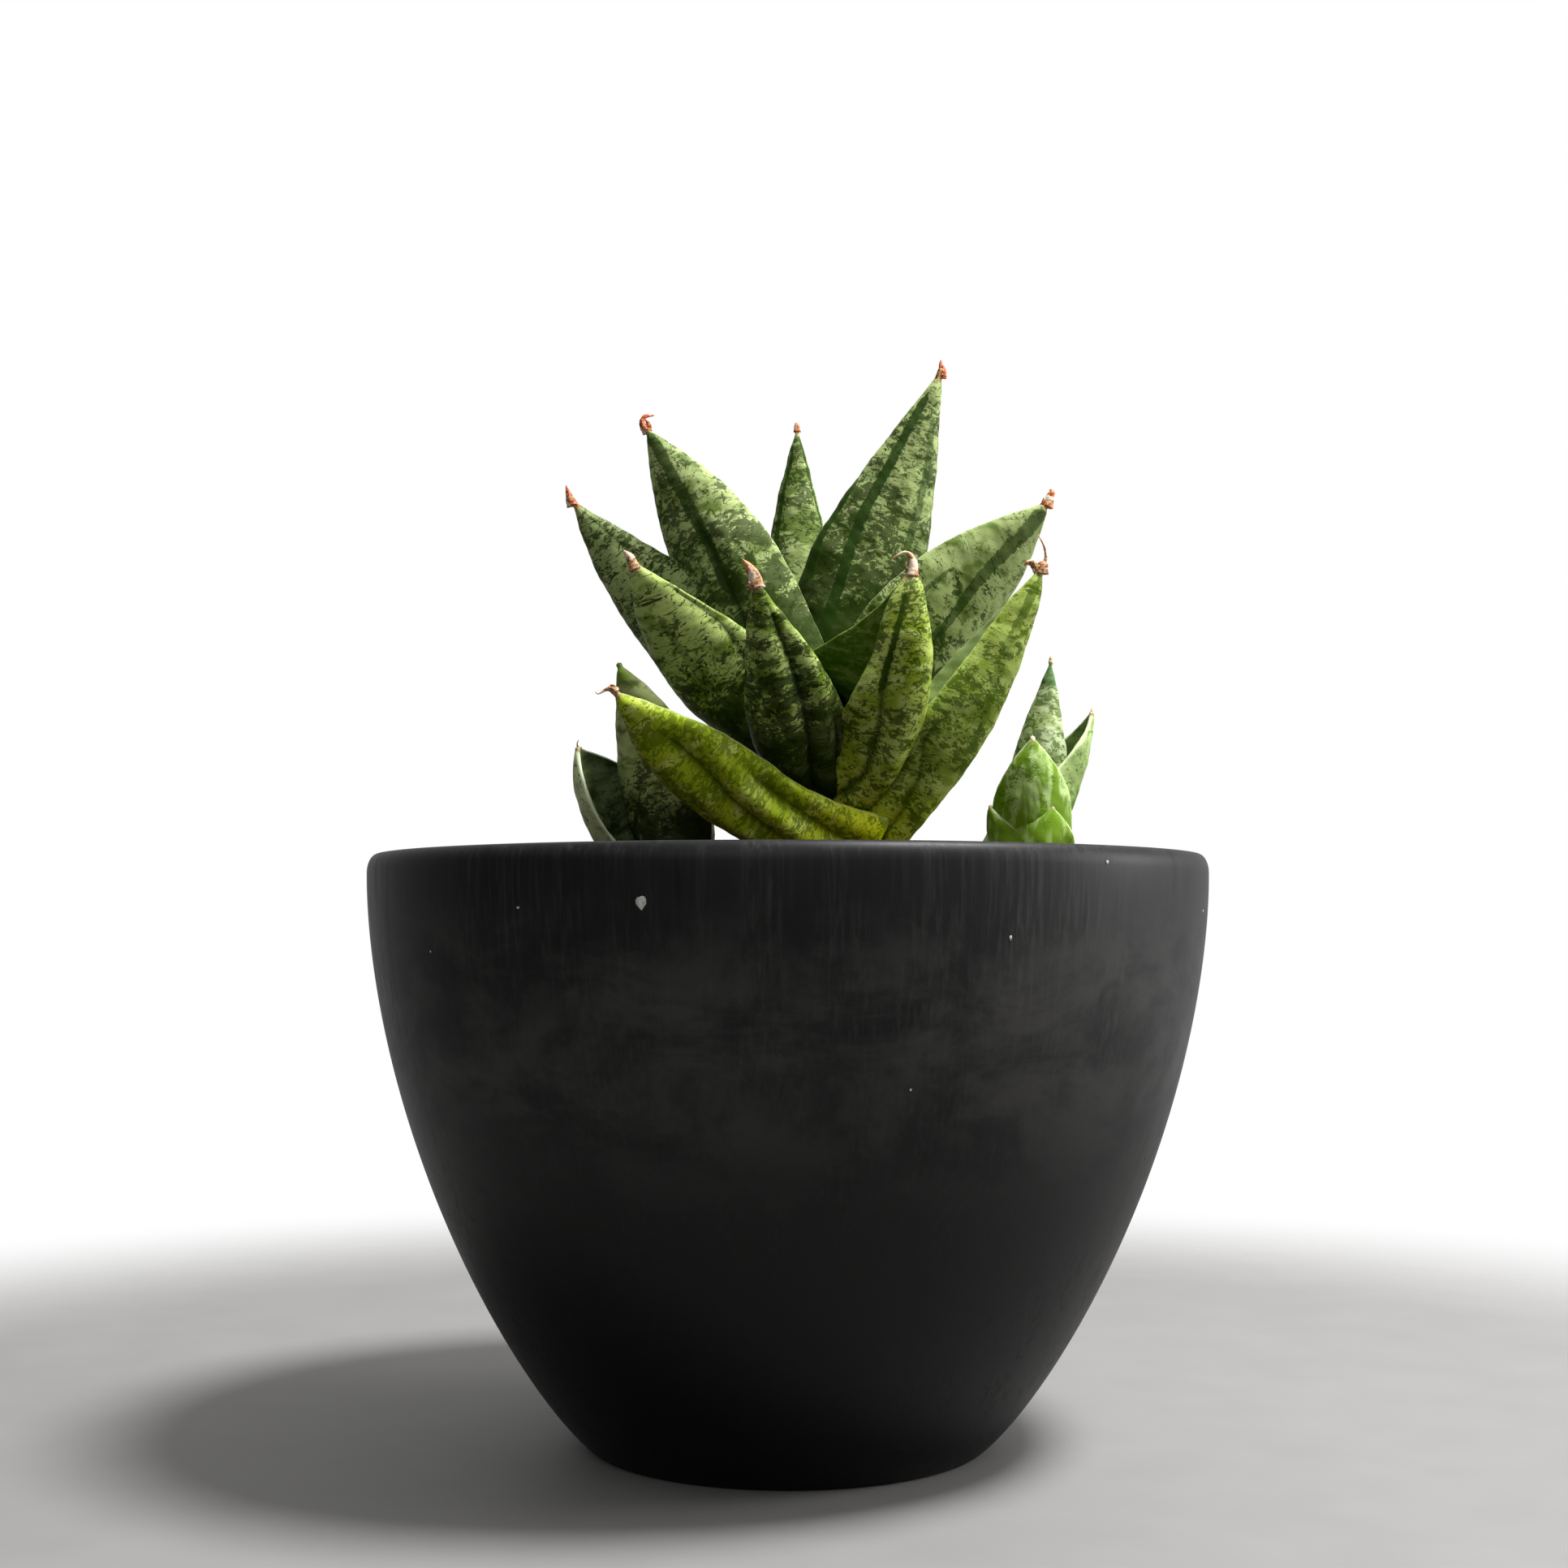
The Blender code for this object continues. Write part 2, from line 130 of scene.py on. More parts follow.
@dataclass
class Fold:
    """A crease on the outer side, with its depth and reach to each side in millimetres."""

    route: list
    depth: float
    reach: float


@dataclass
class Marks:
    """What a leaf's skin shows. A pair is a value at the base and one at the tip.

    Dry and cap are lengths in millimetres from the tip: a husk, and plain green below it.
    """

    look: str
    # dark, where high at the base, covers the lower leaf in dark mottle: partly its own pigment,
    # partly painted shade low in the rosette
    dark: tuple = (0.75, 0.35)
    bands: tuple = (0.2, 0.2)
    pale: tuple = (0.4, 0.6)
    dry: float = 1.0
    stripes: list = field(default_factory=list)
    folds: list = field(default_factory=list)
    wisps: list = field(default_factory=list)
    cap: float = 0.0
    # rim: how strongly the pale margin line shows; partly the leaf's own edge, partly painted glow
    # of light through the edges
    rim: float = 0.38
    rim_width: float = 1.0
    fine: bool = True


LEAVES = [
    Leaf("heart_leaf", base=(0.0060, 0.0070, 0.1780), tip=(-0.0015, 0.0075, 0.2165),
         bow=(-0.0020, 0, 0), facing=-90, width=0.0100, thickness=0.0050, fullness=1.6,
         channel=0.2),
    Leaf("top_back_leaf", base=(0.0040, 0.0100, 0.1850), tip=(0.0025, 0.0220, 0.2530),
         bow=(-0.0010, 0.0040, 0), facing=-90, width=0.0160, thickness=0.0055, fullness=1.5,
         channel=0.2),
    Leaf("top_right_leaf", base=(0.0070, 0.0020, 0.1780), tip=(0.0385, 0.0, 0.2625),
         bow=(-0.0010, 0, -0.0040), facing=-80, width=0.0295, thickness=0.0075, fullness=1.3,
         channel=0.25, base_channel=0.4),
    Leaf("top_left_leaf", base=(0.0050, -0.0050, 0.1720), tip=(-0.0345, -0.0100, 0.2450),
         bow=(-0.0020, -0.0020, 0.0075), facing=-100, width=0.0265, thickness=0.0070,
         fullness=1.7, channel=0.25),
    Leaf("right_leaf", base=(0.0100, 0.0030, 0.1740), tip=(0.0645, -0.0020, 0.2285),
         bow=(0.0030, 0, -0.0003), facing=-70, width=0.0290, thickness=0.0070, fullness=2.0,
         channel=0.3),
    Leaf("left_leaf", base=(0.0070, 0.0020, 0.1700), tip=(-0.0530, -0.0080, 0.2280),
         bow=(-0.0040, 0, -0.0060), facing=-105, width=0.0270, thickness=0.0070, fullness=1.6,
         channel=0.3),
    Leaf("back_leaf", base=(0.0080, 0.0100, 0.1640), tip=(0.0065, 0.0460, 0.2125),
         bow=(0, 0.0080, -0.0040), facing=90, width=0.0260, thickness=0.0070, fullness=1.6,
         channel=0.4),
    Leaf("mid_left_leaf", base=(0.0095, -0.0040, 0.1600), tip=(-0.0365, -0.0300, 0.2090),
         bow=(-0.0080, -0.0030, -0.0040), facing=-112, width=0.0290, thickness=0.0070,
         fullness=1.8, channel=0.3),
    Leaf("back_right_leaf", base=(0.0140, 0.0090, 0.1600), tip=(0.0475, 0.0420, 0.2140),
         bow=(0.0050, 0.0050, -0.0050), facing=50, width=0.0250, thickness=0.0070, fullness=1.6,
         channel=0.4),
    Leaf("back_left_leaf", base=(0.0070, 0.0090, 0.1570), tip=(-0.0265, 0.0450, 0.2010),
         bow=(-0.0040, 0.0050, -0.0050), facing=135, width=0.0250, thickness=0.0070, fullness=1.6,
         channel=0.4),
    Leaf("front_left_leaf", base=(0.0075, -0.0070, 0.1500), tip=(-0.0075, -0.0440, 0.2025),
         bow=(0.0010, -0.0080, -0.0050), facing=-97, width=0.0230, thickness=0.0080, fullness=1.5,
         channel=0.4, base_channel=0.7, base_width=0.7),
    Leaf("front_right_leaf", base=(0.0080, -0.0090, 0.1490), tip=(0.0285, -0.0360, 0.2065),
         bow=(0.0190, -0.0080, -0.0130), facing=-8, width=0.0175, thickness=0.0065, fullness=2.3,
         channel=2.6, base_channel=0.7, tip_channel=1.0, keel=0.24, lopsided=0.32, base_width=1.1,
         base_facing=-65),
    Leaf("lower_right_leaf", base=(0.0150, -0.0075, 0.1385), tip=(0.0605, -0.0220, 0.2090),
         bow=(0.0085, -0.0050, -0.0150), facing=-30, width=0.0210, thickness=0.0065, fullness=1.7,
         channel=1.5, base_channel=0.7, tip_channel=1.2, keel=0.3, lopsided=0.15, base_width=0.9,
         base_facing=-75, roll=20),
    Leaf("lower_back_leaf", base=(0.0130, 0.0100, 0.1440), tip=(0.0090, 0.0560, 0.1885),
         bow=(0, 0.0060, -0.0050), facing=95, width=0.0230, thickness=0.0070, fullness=1.6,
         channel=0.4),
    Leaf("lower_left_leaf", base=(0.0135, -0.0070, 0.14), tip=(-0.0400, -0.0360, 0.1776),
         bow=(0, -0.0050, -0.0095), facing=-105, width=0.0245, thickness=0.0085, fullness=2.4,
         base_channel=0.4, base_width=1.3),
    Leaf("left_pup_tall_leaf", base=(-0.0290, 0.0, 0.1345), tip=(-0.0415, -0.0040, 0.1880),
         bow=(0.0045, -0.0020, 0.0020), facing=-115, width=0.0235, thickness=0.0060, fullness=1.7),
    Leaf("left_pup_outer_leaf", base=(-0.0355, 0.0030, 0.1345), tip=(-0.0515, -0.0020, 0.1675),
         bow=(-0.0060, 0.0020, -0.0050), facing=150, width=0.0270, thickness=0.0035, fullness=3.4,
         channel=0.7, base_channel=0.6, tip_channel=1.0),
    Leaf("left_pup_back_leaf", base=(-0.0310, 0.0060, 0.1345), tip=(-0.0390, 0.0230, 0.1640),
         bow=(0, 0.0040, -0.0040), facing=110, width=0.0150, thickness=0.0045, fullness=1.5,
         channel=0.5),
    Leaf("left_pup_low_leaf", base=(-0.0270, 0.0030, 0.1345), tip=(-0.0195, 0.0120, 0.1510),
         bow=(0.0020, 0.0020, -0.0030), facing=30, width=0.0150, thickness=0.0045, fullness=1.5,
         channel=0.4),
    Leaf("right_pup_tall_leaf", base=(0.0590, 0.0020, 0.1345), tip=(0.0655, 0.0020, 0.1895),
         bow=(0, 0, 0), facing=-95, width=0.0150, thickness=0.0060, fullness=1.4),
    Leaf("right_pup_outer_leaf", base=(0.0590, 0.0070, 0.1345), tip=(0.0757, 0.0035, 0.1768),
         bow=(0.0030, 0, -0.0045), facing=2, width=0.0200, thickness=0.0035, fullness=3.0,
         channel=0.9, base_channel=0.6, roll=10),
    Leaf("right_pup_front_leaf", base=(0.0600, -0.0030, 0.1345), tip=(0.0595, -0.0080, 0.1695),
         bow=(0, -0.0050, 0), facing=-90, width=0.0195, thickness=0.0040, fullness=2.1,
         channel=0.45, base_channel=0.7, base_width=1.0),
    Leaf("right_pup_sheath_leaf", base=(0.0580, -0.0040, 0.1335), tip=(0.0640, -0.0085, 0.1525),
         bow=(0, -0.0045, -0.0030), facing=-80, width=0.0225, thickness=0.0030, fullness=3.2,
         channel=0.8, base_channel=0.8, base_width=0.95),
    Leaf("right_pup_scale_leaf", base=(0.0560, -0.0040, 0.1335), tip=(0.0495, -0.0050, 0.1530),
         bow=(-0.0020, 0, -0.0030), facing=-150, width=0.0150, thickness=0.0030, fullness=1.8,
         channel=0.7, base_channel=0.8, base_width=0.95),
]

# A wisp is a dry hook or thread beyond a leaf's tip: places in millimetres from the tip
# (right, back, up) and its radii there.
MARKS = {
    "heart_leaf": Marks("grey", dark=(0.5, 0.3), dry=1.2, fine=False),
    "top_back_leaf": Marks(
        "grey", dark=(0.45, 0.5), bands=(0.1, 0.0), pale=(0.5, 0.3), dry=1.6,
        stripes=[Stripe([(0.45, -0.68), (0.64, -0.70), (0.77, -0.64), (0.89, -0.50)], (0.9, 0.4)),
                 Stripe([(0.55, 0.90), (0.67, 0.86), (0.77, 0.80), (0.92, 0.72)], (0.4, 0.3))],
        wisps=[([(0, 0, -1.0), (-0.1, 0, 0.6), (-0.4, 0, 1.5)], (1.0, 0.75, 0.1))]),
    "top_right_leaf": Marks(
        "grey", dark=(2.3, 0.40), bands=(0.0, 0.45), pale=(0.1, 0.8), dry=2.9,
        stripes=[Stripe([(0.15, -0.30), (0.40, -0.36), (0.57, -0.45), (0.75, -0.43),
                         (0.91, -0.52)], (1.7, 0.75)),
                 Stripe([(0.50, 0.43), (0.60, 0.47), (0.73, 0.54), (0.86, 0.41)], (1.0, 0.6),
                        strength=0.65),
                 Stripe([(0.36, -0.86), (0.50, -0.93), (0.62, -0.93)], (1.2, 0.7))],
        wisps=[([(0, 0, -1.6), (0.1, 0, 0.3), (-0.2, 0, 1.4), (-0.1, 0, 2.6)],
                (1.25, 0.85, 0.4, 0.1)),
               ([(0.5, -0.6, -2.4), (0.7, -0.7, -1.2), (0.9, -0.5, 0.1)], (0.6, 0.5, 0.15))]),
    "top_left_leaf": Marks(
        "grey", dark=(1.8, 0.40), bands=(0.1, 0.35), pale=(0.1, 0.8), dry=1.0,
        stripes=[Stripe([(0.44, -0.08), (0.57, -0.02), (0.76, 0.0), (0.97, 0.02)], (1.4, 0.75),
                        strength=0.85)],
        folds=[Fold([(0.20, -0.12), (0.47, -0.05), (0.58, -0.02)], 1.5, 1.6),
               Fold([(0.36, 0.16), (0.46, 0.26), (0.62, 0.47)], 0.25, 1.2)],
        wisps=[([(0.2, 0, -0.8), (-0.9, 0, 1.0), (-1.1, 0, 2.2), (-0.3, 0, 3.2), (1.9, 0, 3.5)],
                (1.2, 0.8, 0.6, 0.55, 0.1)),
               ([(0.6, 0, -0.4), (0.4, -0.2, 1.3), (-0.4, -0.3, 2.4)], (0.8, 0.5, 0.15))]),
    "right_leaf": Marks(
        "grey", dark=(1.3, -0.1), bands=(0.1, 0.2), pale=(0.35, 0.8), dry=1.6,
        stripes=[Stripe([(0.40, 0.04), (0.52, 0.01), (0.66, -0.10), (0.84, -0.09),
                         (0.95, 0.02)], (1.2, 1.0), strength=0.8),
                 Stripe([(0.49, -0.56), (0.55, -0.54), (0.62, -0.53)], (0.8, 0.35),
                        strength=0.7)],
        wisps=[([(-0.3, 0, -1.2), (0.3, 0, 0.8), (0.5, 0, 1.9)], (1.5, 1.3, 0.7)),
               ([(0.3, 0, 1.2), (1.0, 0, 2.4), (0.7, 0, 3.4)], (0.8, 0.8, 0.15)),
               ([(-1.1, -0.4, -0.4), (-0.7, -0.4, 0.8), (0.2, -0.3, 1.5)], (0.5, 0.5, 0.1))]),
    "left_leaf": Marks(
        "grey", dark=(0.9, 0.1), bands=(0.7, 0.8), pale=(0.6, 0.9), dry=2.6,
        folds=[Fold([(0.45, 0.40), (0.74, 0.50), (0.93, 0.50)], 0.7, 2.2)],
        wisps=[([(0.2, 0, -1.6), (-0.5, 0, 0.6), (-1.0, 0, 2.2), (-1.4, 0, 3.6)],
                (1.2, 0.9, 0.5, 0.1))]),
    "mid_left_leaf": Marks(
        "fresh", dark=(2.8, -0.3), bands=(0.3, 0.5), pale=(0.1, 0.8), dry=2.2,
        stripes=[Stripe([(0.50, 0.02), (0.60, 0.02), (0.78, 0.05)], (1.2, 0.5), strength=0.5)],
        folds=[Fold([(0.40, 0.62), (0.52, 0.72), (0.67, 0.88), (0.80, 0.93)], 0.8, 1.6)],
        wisps=[([(0.8, 0, -2.2), (-0.3, 0, 0.4), (-1.2, 0, 1.6), (-2.0, 0, 2.3)],
                (1.5, 1.1, 0.7, 0.25))]),
    "front_left_leaf": Marks(
        "fresh", dark=(2.6, 0.15), bands=(0.9, 0.9), pale=(0.1, 0.6), dry=2.4,
        folds=[Fold([(0.20, 0.10), (0.33, 0.18), (0.48, 0.27), (0.67, 0.37), (0.80, 0.46)],
                    2.4, 1.6),
               Fold([(0.16, 0.62), (0.28, 0.60), (0.36, 0.74)], 1.2, 1.5)],
        wisps=[([(0.6, 0, -2.4), (-0.2, 0, 0.4), (-1.6, -0.3, 2.6), (-2.8, -0.4, 4.2)],
                (1.7, 1.4, 0.9, 0.15)),
               ([(-1.4, 0, -2.6), (-1.2, -0.6, -1.4), (-1.5, -0.7, -0.8)], (0.5, 0.35, 0.1))]),
    "front_right_leaf": Marks(
        "olive", dark=(0.65, 0.4), bands=(0.1, 0.2), pale=(0.2, 0.55), dry=2.4,
        stripes=[Stripe([(0.62, -0.60), (0.76, -0.65), (0.92, -0.55)], (0.7, 0.35))],
        folds=[Fold([(0.08, -0.42), (0.24, -0.21), (0.46, -0.39), (0.58, -0.54), (0.72, -0.63)],
                    2.0, 1.6)],
        wisps=[([(0, 0, -2.2), (0.2, 0, 0.6), (-0.1, -0.2, 2.3), (-1.4, -0.4, 3.2),
                 (-3.2, -0.5, 2.6), (-4.6, -0.5, 1.6)], (1.5, 1.2, 0.75, 0.45, 0.25, 0.08))]),
    "lower_right_leaf": Marks(
        "sunny", dark=(0.55, 0.5), bands=(0.1, 0.15), pale=(0.3, 0.6), dry=2.0,
        stripes=[Stripe([(0.80, -0.43), (0.87, -0.41), (0.95, -0.36)], (0.8, 0.7),
                        strength=0.7),
                 Stripe([(0.48, -0.12), (0.61, -0.22), (0.78, -0.45), (0.84, -0.41)],
                        (0.8, 0.8), strength=0.4)],
        folds=[Fold([(0.12, -0.14), (0.24, -0.24), (0.37, -0.44), (0.46, -0.72)], 1.5, 1.5),
               Fold([(0.05, 0.25), (0.25, 0.12), (0.42, 0.02)], 0.7, 1.5)],
        wisps=[([(0, 0, -1.8), (0.2, 0, 0.4), (0.3, 0, 1.2)], (1.6, 1.2, 0.7)),
               ([(-0.8, 0, -1.6), (-2.2, 0, 0.6), (-3.6, 0, 0.9), (-4.2, 0, 0.2)],
                (1.0, 0.8, 0.5, 0.1)),
               ([(0.5, 0, 0.6), (0.9, 0, 2.6), (0.4, 0, 5.2), (-0.9, 0, 7.6)],
                (0.5, 0.3, 0.2, 0.08))]),
    "lower_left_leaf": Marks(
        "old", dark=(0.5, 0.75), bands=(0.0, 0.0), pale=(0.3, 0.1), dry=1.4,
        folds=[Fold([(0.20, 0.02), (0.37, 0.09), (0.50, 0.10), (0.63, 0.22), (0.74, 0.28)],
                    3.4, 1.8),
               Fold([(0.10, 0.55), (0.22, 0.62), (0.33, 0.69), (0.45, 0.72)], 2.6, 1.6)],
        wisps=[([(0.6, 0, -0.3), (-0.8, 0, 0.5), (-2.0, 0, 0.3), (-3.6, 0, -0.6),
                 (-4.4, 0, -0.2)], (1.0, 0.7, 0.35, 0.2, 0.08)),
               ([(0.8, 0, 0.2), (-0.4, 0, 1.2), (-1.2, 0, 1.0)], (0.6, 0.4, 0.1))]),
    "back_leaf": Marks("grey", dark=(0.9, 0.4), bands=(0.2, 0.5),
                       stripes=[Stripe([(0.40, -0.2), (0.90, -0.1)], (1.1, 0.6))]),
    "back_right_leaf": Marks("grey", dark=(0.9, 0.4), bands=(0.2, 0.5),
                             stripes=[Stripe([(0.40, 0.1), (0.92, 0.1)], (1.1, 0.6))]),
    "back_left_leaf": Marks("fresh", dark=(0.9, 0.4), bands=(0.5, 0.6),
                            folds=[Fold([(0.15, 0.1), (0.55, 0.2), (0.72, 0.2)], 1.2, 2.0)]),
    "lower_back_leaf": Marks("old", dark=(0.4, 0.3), bands=(0.0, 0.1),
                             folds=[Fold([(0.10, 0.1), (0.40, -0.1), (0.70, -0.1)], 1.5, 2.2)]),
    "left_pup_tall_leaf": Marks("pup_shaded", dark=(1.8, -0.3), bands=(0.2, 0.0),
                                pale=(0.1, 0.8), dry=-2.0, cap=6.0, rim=0.6),
    "left_pup_outer_leaf": Marks(
        "pup_dark", dark=(0.5, 0.0), bands=(0.0, 0.0), pale=(0.5, 0.8), dry=0.4, rim=0.9,
        rim_width=1.4,
        wisps=[([(0, 0, -0.4), (-0.3, 0, 1.0), (0.1, 0, 1.9)], (0.3, 0.15, 0.07))]),
    "left_pup_back_leaf": Marks("grey", dark=(0.9, 0.4), dry=0.6, fine=False),
    "left_pup_low_leaf": Marks("grey", dark=(0.9, 0.4), dry=0.6, fine=False),
    "right_pup_tall_leaf": Marks(
        "pup_mottled", dark=(0.6, 0.45), bands=(0.3, 0.2), pale=(0.6, 0.6), dry=0.7, cap=8.0,
        wisps=[([(0, 0, -0.6), (0, 0, 0.6), (0.1, 0, 1.3)], (0.6, 0.4, 0.1))]),
    "right_pup_outer_leaf": Marks(
        "pup_pale", dark=(-0.2, 0.1), bands=(0.0, 0.0), pale=(0.7, 0.9), dry=0.5, rim=0.7,
        rim_width=1.4,
        wisps=[([(0, 0, -0.4), (0.1, 0, 0.6), (0.1, 0, 1.1)], (0.5, 0.3, 0.08))]),
    "right_pup_front_leaf": Marks("pup_pale", dark=(-0.7, 0.2), bands=(0.0, 0.0),
                                  pale=(0.1, 0.5), dry=1.0, rim=0.8, rim_width=1.5),
    "right_pup_sheath_leaf": Marks("pup_pale", dark=(-0.6, -0.3), bands=(0.0, 0.0),
                                   pale=(0.0, 0.2), dry=0.3, rim=0.85, rim_width=2.4),
    "right_pup_scale_leaf": Marks("pup_pale", dark=(-0.4, 0.0), bands=(0.0, 0.0),
                                  pale=(0.0, 0.1), dry=0.4, rim=0.5, rim_width=1.6),
}

STEMS = {
    "main_stem": ((0.0130, 0.0030, SOIL_TOP), (0.0080, 0.0040, 0.1820), 0.0105, 0.0050),
    "left_pup_stem": ((-0.0300, 0.0020, SOIL_TOP), (-0.0310, 0.0020, 0.1440), 0.0075, 0.0050),
    "right_pup_stem": ((0.0590, 0.0015, SOIL_TOP), (0.0600, 0.0015, 0.1480), 0.0065, 0.0040),
}
STEM_DEPTH = 0.0100

# Lime flecks on the planter: degrees round it, height, half width and half height
FLECKS = [(-106.9, 0.1280, 0.0015, 0.0015), (-63.4, 0.1210, 0.0004, 0.0006),
          (-48.8, 0.1368, 0.0005, 0.0005), (-123.3, 0.1272, 0.0005, 0.0003),
          (-75.0, 0.0905, 0.0003, 0.0003), (-140.0, 0.1180, 0.0003, 0.0003),
          (-20.0, 0.1270, 0.0004, 0.0004), (62.0, 0.1245, 0.0005, 0.0004),
          (118.0, 0.1020, 0.0004, 0.0005)]
FLECK_OUTLINE = [(-0.80, 0.35), (-0.75, -0.15), (-0.30, -0.65), (0.05, -1.0), (0.35, -0.60),
                 (0.72, -0.10), (0.70, 0.50), (0.50, 0.85), (0.10, 0.95), (-0.20, 0.80),
                 (-0.55, 0.75)]
FLECK_RISE = 0.00022

# Slots of the record that differ from plain "leaf"
SLOTS = {"lower_left_leaf": "old_leaf", "lower_right_leaf": "old_leaf",
         "lower_back_leaf": "old_leaf", "heart_leaf": "young_leaf"}


@dataclass
class Look:
    """The greens of one kind of leaf, as they show in sRGB, and how its blotches stretch."""

    dark: tuple
    mid: tuple
    pale: tuple
    stripe: tuple
    # inner: the hollowed side's green, on most looks darker than the outer side, partly as painted
    # shade in the channel
    inner: tuple
    margin: tuple
    # foot: the colour low on the leaf; where darker than mid it is partly painted shade
    foot: tuple
    husk: tuple = ((104, 60, 30), (204, 158, 108))
    blotch: tuple = (0.62, 0.62, 1.0)


PALE_HUSK = ((176, 150, 96), (240, 232, 204))
LOOKS = {
    "grey": Look((30, 48, 4), (98, 118, 52), (166, 182, 118), (38, 64, 10), (48, 74, 8),
                 (180, 192, 146), (44, 62, 10)),
    "fresh": Look((12, 28, 0), (94, 118, 30), (182, 200, 116), (14, 34, 0), (44, 68, 4),
                  (120, 138, 74), (16, 28, 0)),
    "olive": Look((42, 64, 0), (132, 152, 38), (184, 200, 110), (42, 70, 0), (52, 84, 4),
                  (112, 134, 66), (150, 156, 8)),
    # sunny: olive greens for the lower right leaf; its yellow foot is lightened as painted light
    # where a neighbouring leaf shades it
    "sunny": Look((60, 84, 0), (124, 144, 48), (168, 186, 98), (56, 86, 2), (146, 166, 112),
                  (172, 184, 118), (196, 204, 14)),
    "old": Look((92, 114, 4), (156, 176, 32), (198, 208, 106), (62, 84, 0), (92, 110, 10),
                (176, 180, 120), (202, 210, 6)),
    "pup_dark": Look((52, 72, 28), (138, 158, 96), (190, 204, 148), (20, 40, 6), (24, 42, 10),
                     (214, 222, 190), (72, 88, 44), PALE_HUSK),
    "pup_shaded": Look((18, 30, 6), (88, 102, 48), (168, 180, 116), (112, 136, 44),
                       (40, 60, 20), (150, 162, 124), (28, 40, 12)),
    "pup_mottled": Look((76, 104, 38), (156, 176, 108), (206, 220, 172), (60, 100, 52),
                        (60, 84, 30), (206, 220, 180), (112, 142, 44), PALE_HUSK),
    "pup_pale": Look((78, 112, 18), (104, 138, 26), (172, 196, 126), (56, 92, 20),
                     (52, 78, 18), (206, 218, 172), (98, 134, 4), PALE_HUSK,
                     blotch=(1.7, 1.7, 0.5)),
}


# Small helpers

def smoothstep(x):
    x = np.clip(x, 0.0, 1.0)
    return x * x * (3 - 2 * x)


def mix(a, b, share):
    return a + (b - a) * share


def unit(vectors):
    return vectors / np.linalg.norm(vectors, axis=-1, keepdims=True)


def linear(colour):
    """sRGB numbers from 0 to 255 as a linear colour with alpha."""
    shares = [c / 255 for c in colour]
    values = [s / 12.92 if s <= 0.04045 else ((s + 0.055) / 1.055) ** 2.4 for s in shares]
    return (*values, 1.0)


def new_object(name, points, faces, materials, smooth=True):
    mesh = bpy.data.meshes.new(name)
    mesh.from_pydata([tuple(p) for p in points], [], [tuple(f) for f in faces])
    for material in materials:
        mesh.materials.append(material)
    if smooth:
        mesh.shade_smooth()
    obj = bpy.data.objects.new(name, mesh)
    bpy.context.scene.collection.objects.link(obj)
    return obj


def add_vectors(obj, name, values):
    attribute = obj.data.attributes.new(name, "FLOAT_VECTOR", "POINT")
    attribute.data.foreach_set("vector", np.asarray(values, np.float32).ravel())


def grid_faces(rows, columns, first=0):
    """Quads between rows of points that close on themselves."""
    i = np.arange(rows - 1)[:, None] * columns + first
    j = np.arange(columns)[None, :]
    k = (j + 1) % columns
    return np.stack([i + j, i + k, i + columns + k, i + columns + j], axis=-1).reshape(-1, 4)


def place_piece(obj, slot, *nodes):
    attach(obj, "root")
    if nodes:
        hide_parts(*nodes)
    return obj


# Leaf surfaces

def spine(leaf, shares):
    """Points and directions on the curve from base to tip."""
    reach = np.subtract(leaf.tip, leaf.base)
    pull = reach / 2 + np.array(leaf.bow)
    s = shares[:, None]
    points = np.array(leaf.base) + pull * 2 * s * (1 - s) + reach * s**2
    return points, unit(pull * (1 - s) + (reach - pull) * s)


def half_widths(leaf, shares):
    rising = mix(leaf.base_width, 1.0, np.sin(np.pi / 2 * np.minimum(shares / WIDEST_AT, 1)))
    left = np.clip((1 - shares) / (1 - WIDEST_AT), 0, 1)
    falling = 1 - (1 - left) ** leaf.fullness
    spread = np.where(shares < WIDEST_AT, rising, falling)
    return np.maximum(leaf.width / 2 * spread, min(TIP_RADIUS, TIP_SHARE * leaf.width))


def channel_depths(leaf, shares, widths):
    depth = mix(leaf.base_channel, leaf.channel, smoothstep(shares / CHANNEL_SETTLED_AT))
    fade = smoothstep((shares - CHANNEL_FADES_FROM) / (1 - CHANNEL_FADES_FROM))
    return depth * widths * mix(1.0, leaf.tip_channel, fade)


def section_axes(leaf, shares, directions):
    """The leaf's sideways and inward directions along its spine."""
    start = leaf.facing if leaf.base_facing is None else leaf.base_facing
    facing = np.radians(mix(start, leaf.facing, smoothstep(shares / FACING_SETTLED_AT)))
    level = np.stack([-np.sin(facing), np.cos(facing), 0 * facing], axis=-1)
    along = (directions * level).sum(axis=1, keepdims=True)
    side = unit(level - directions * along)
    inward = np.cross(directions, side)
    roll = np.radians(leaf.roll) * smoothstep(shares / ROLL_SETTLED_AT)[:, None]
    rolled_side = side * np.cos(roll) + inward * np.sin(roll)
    return rolled_side, inward * np.cos(roll) - side * np.sin(roll)


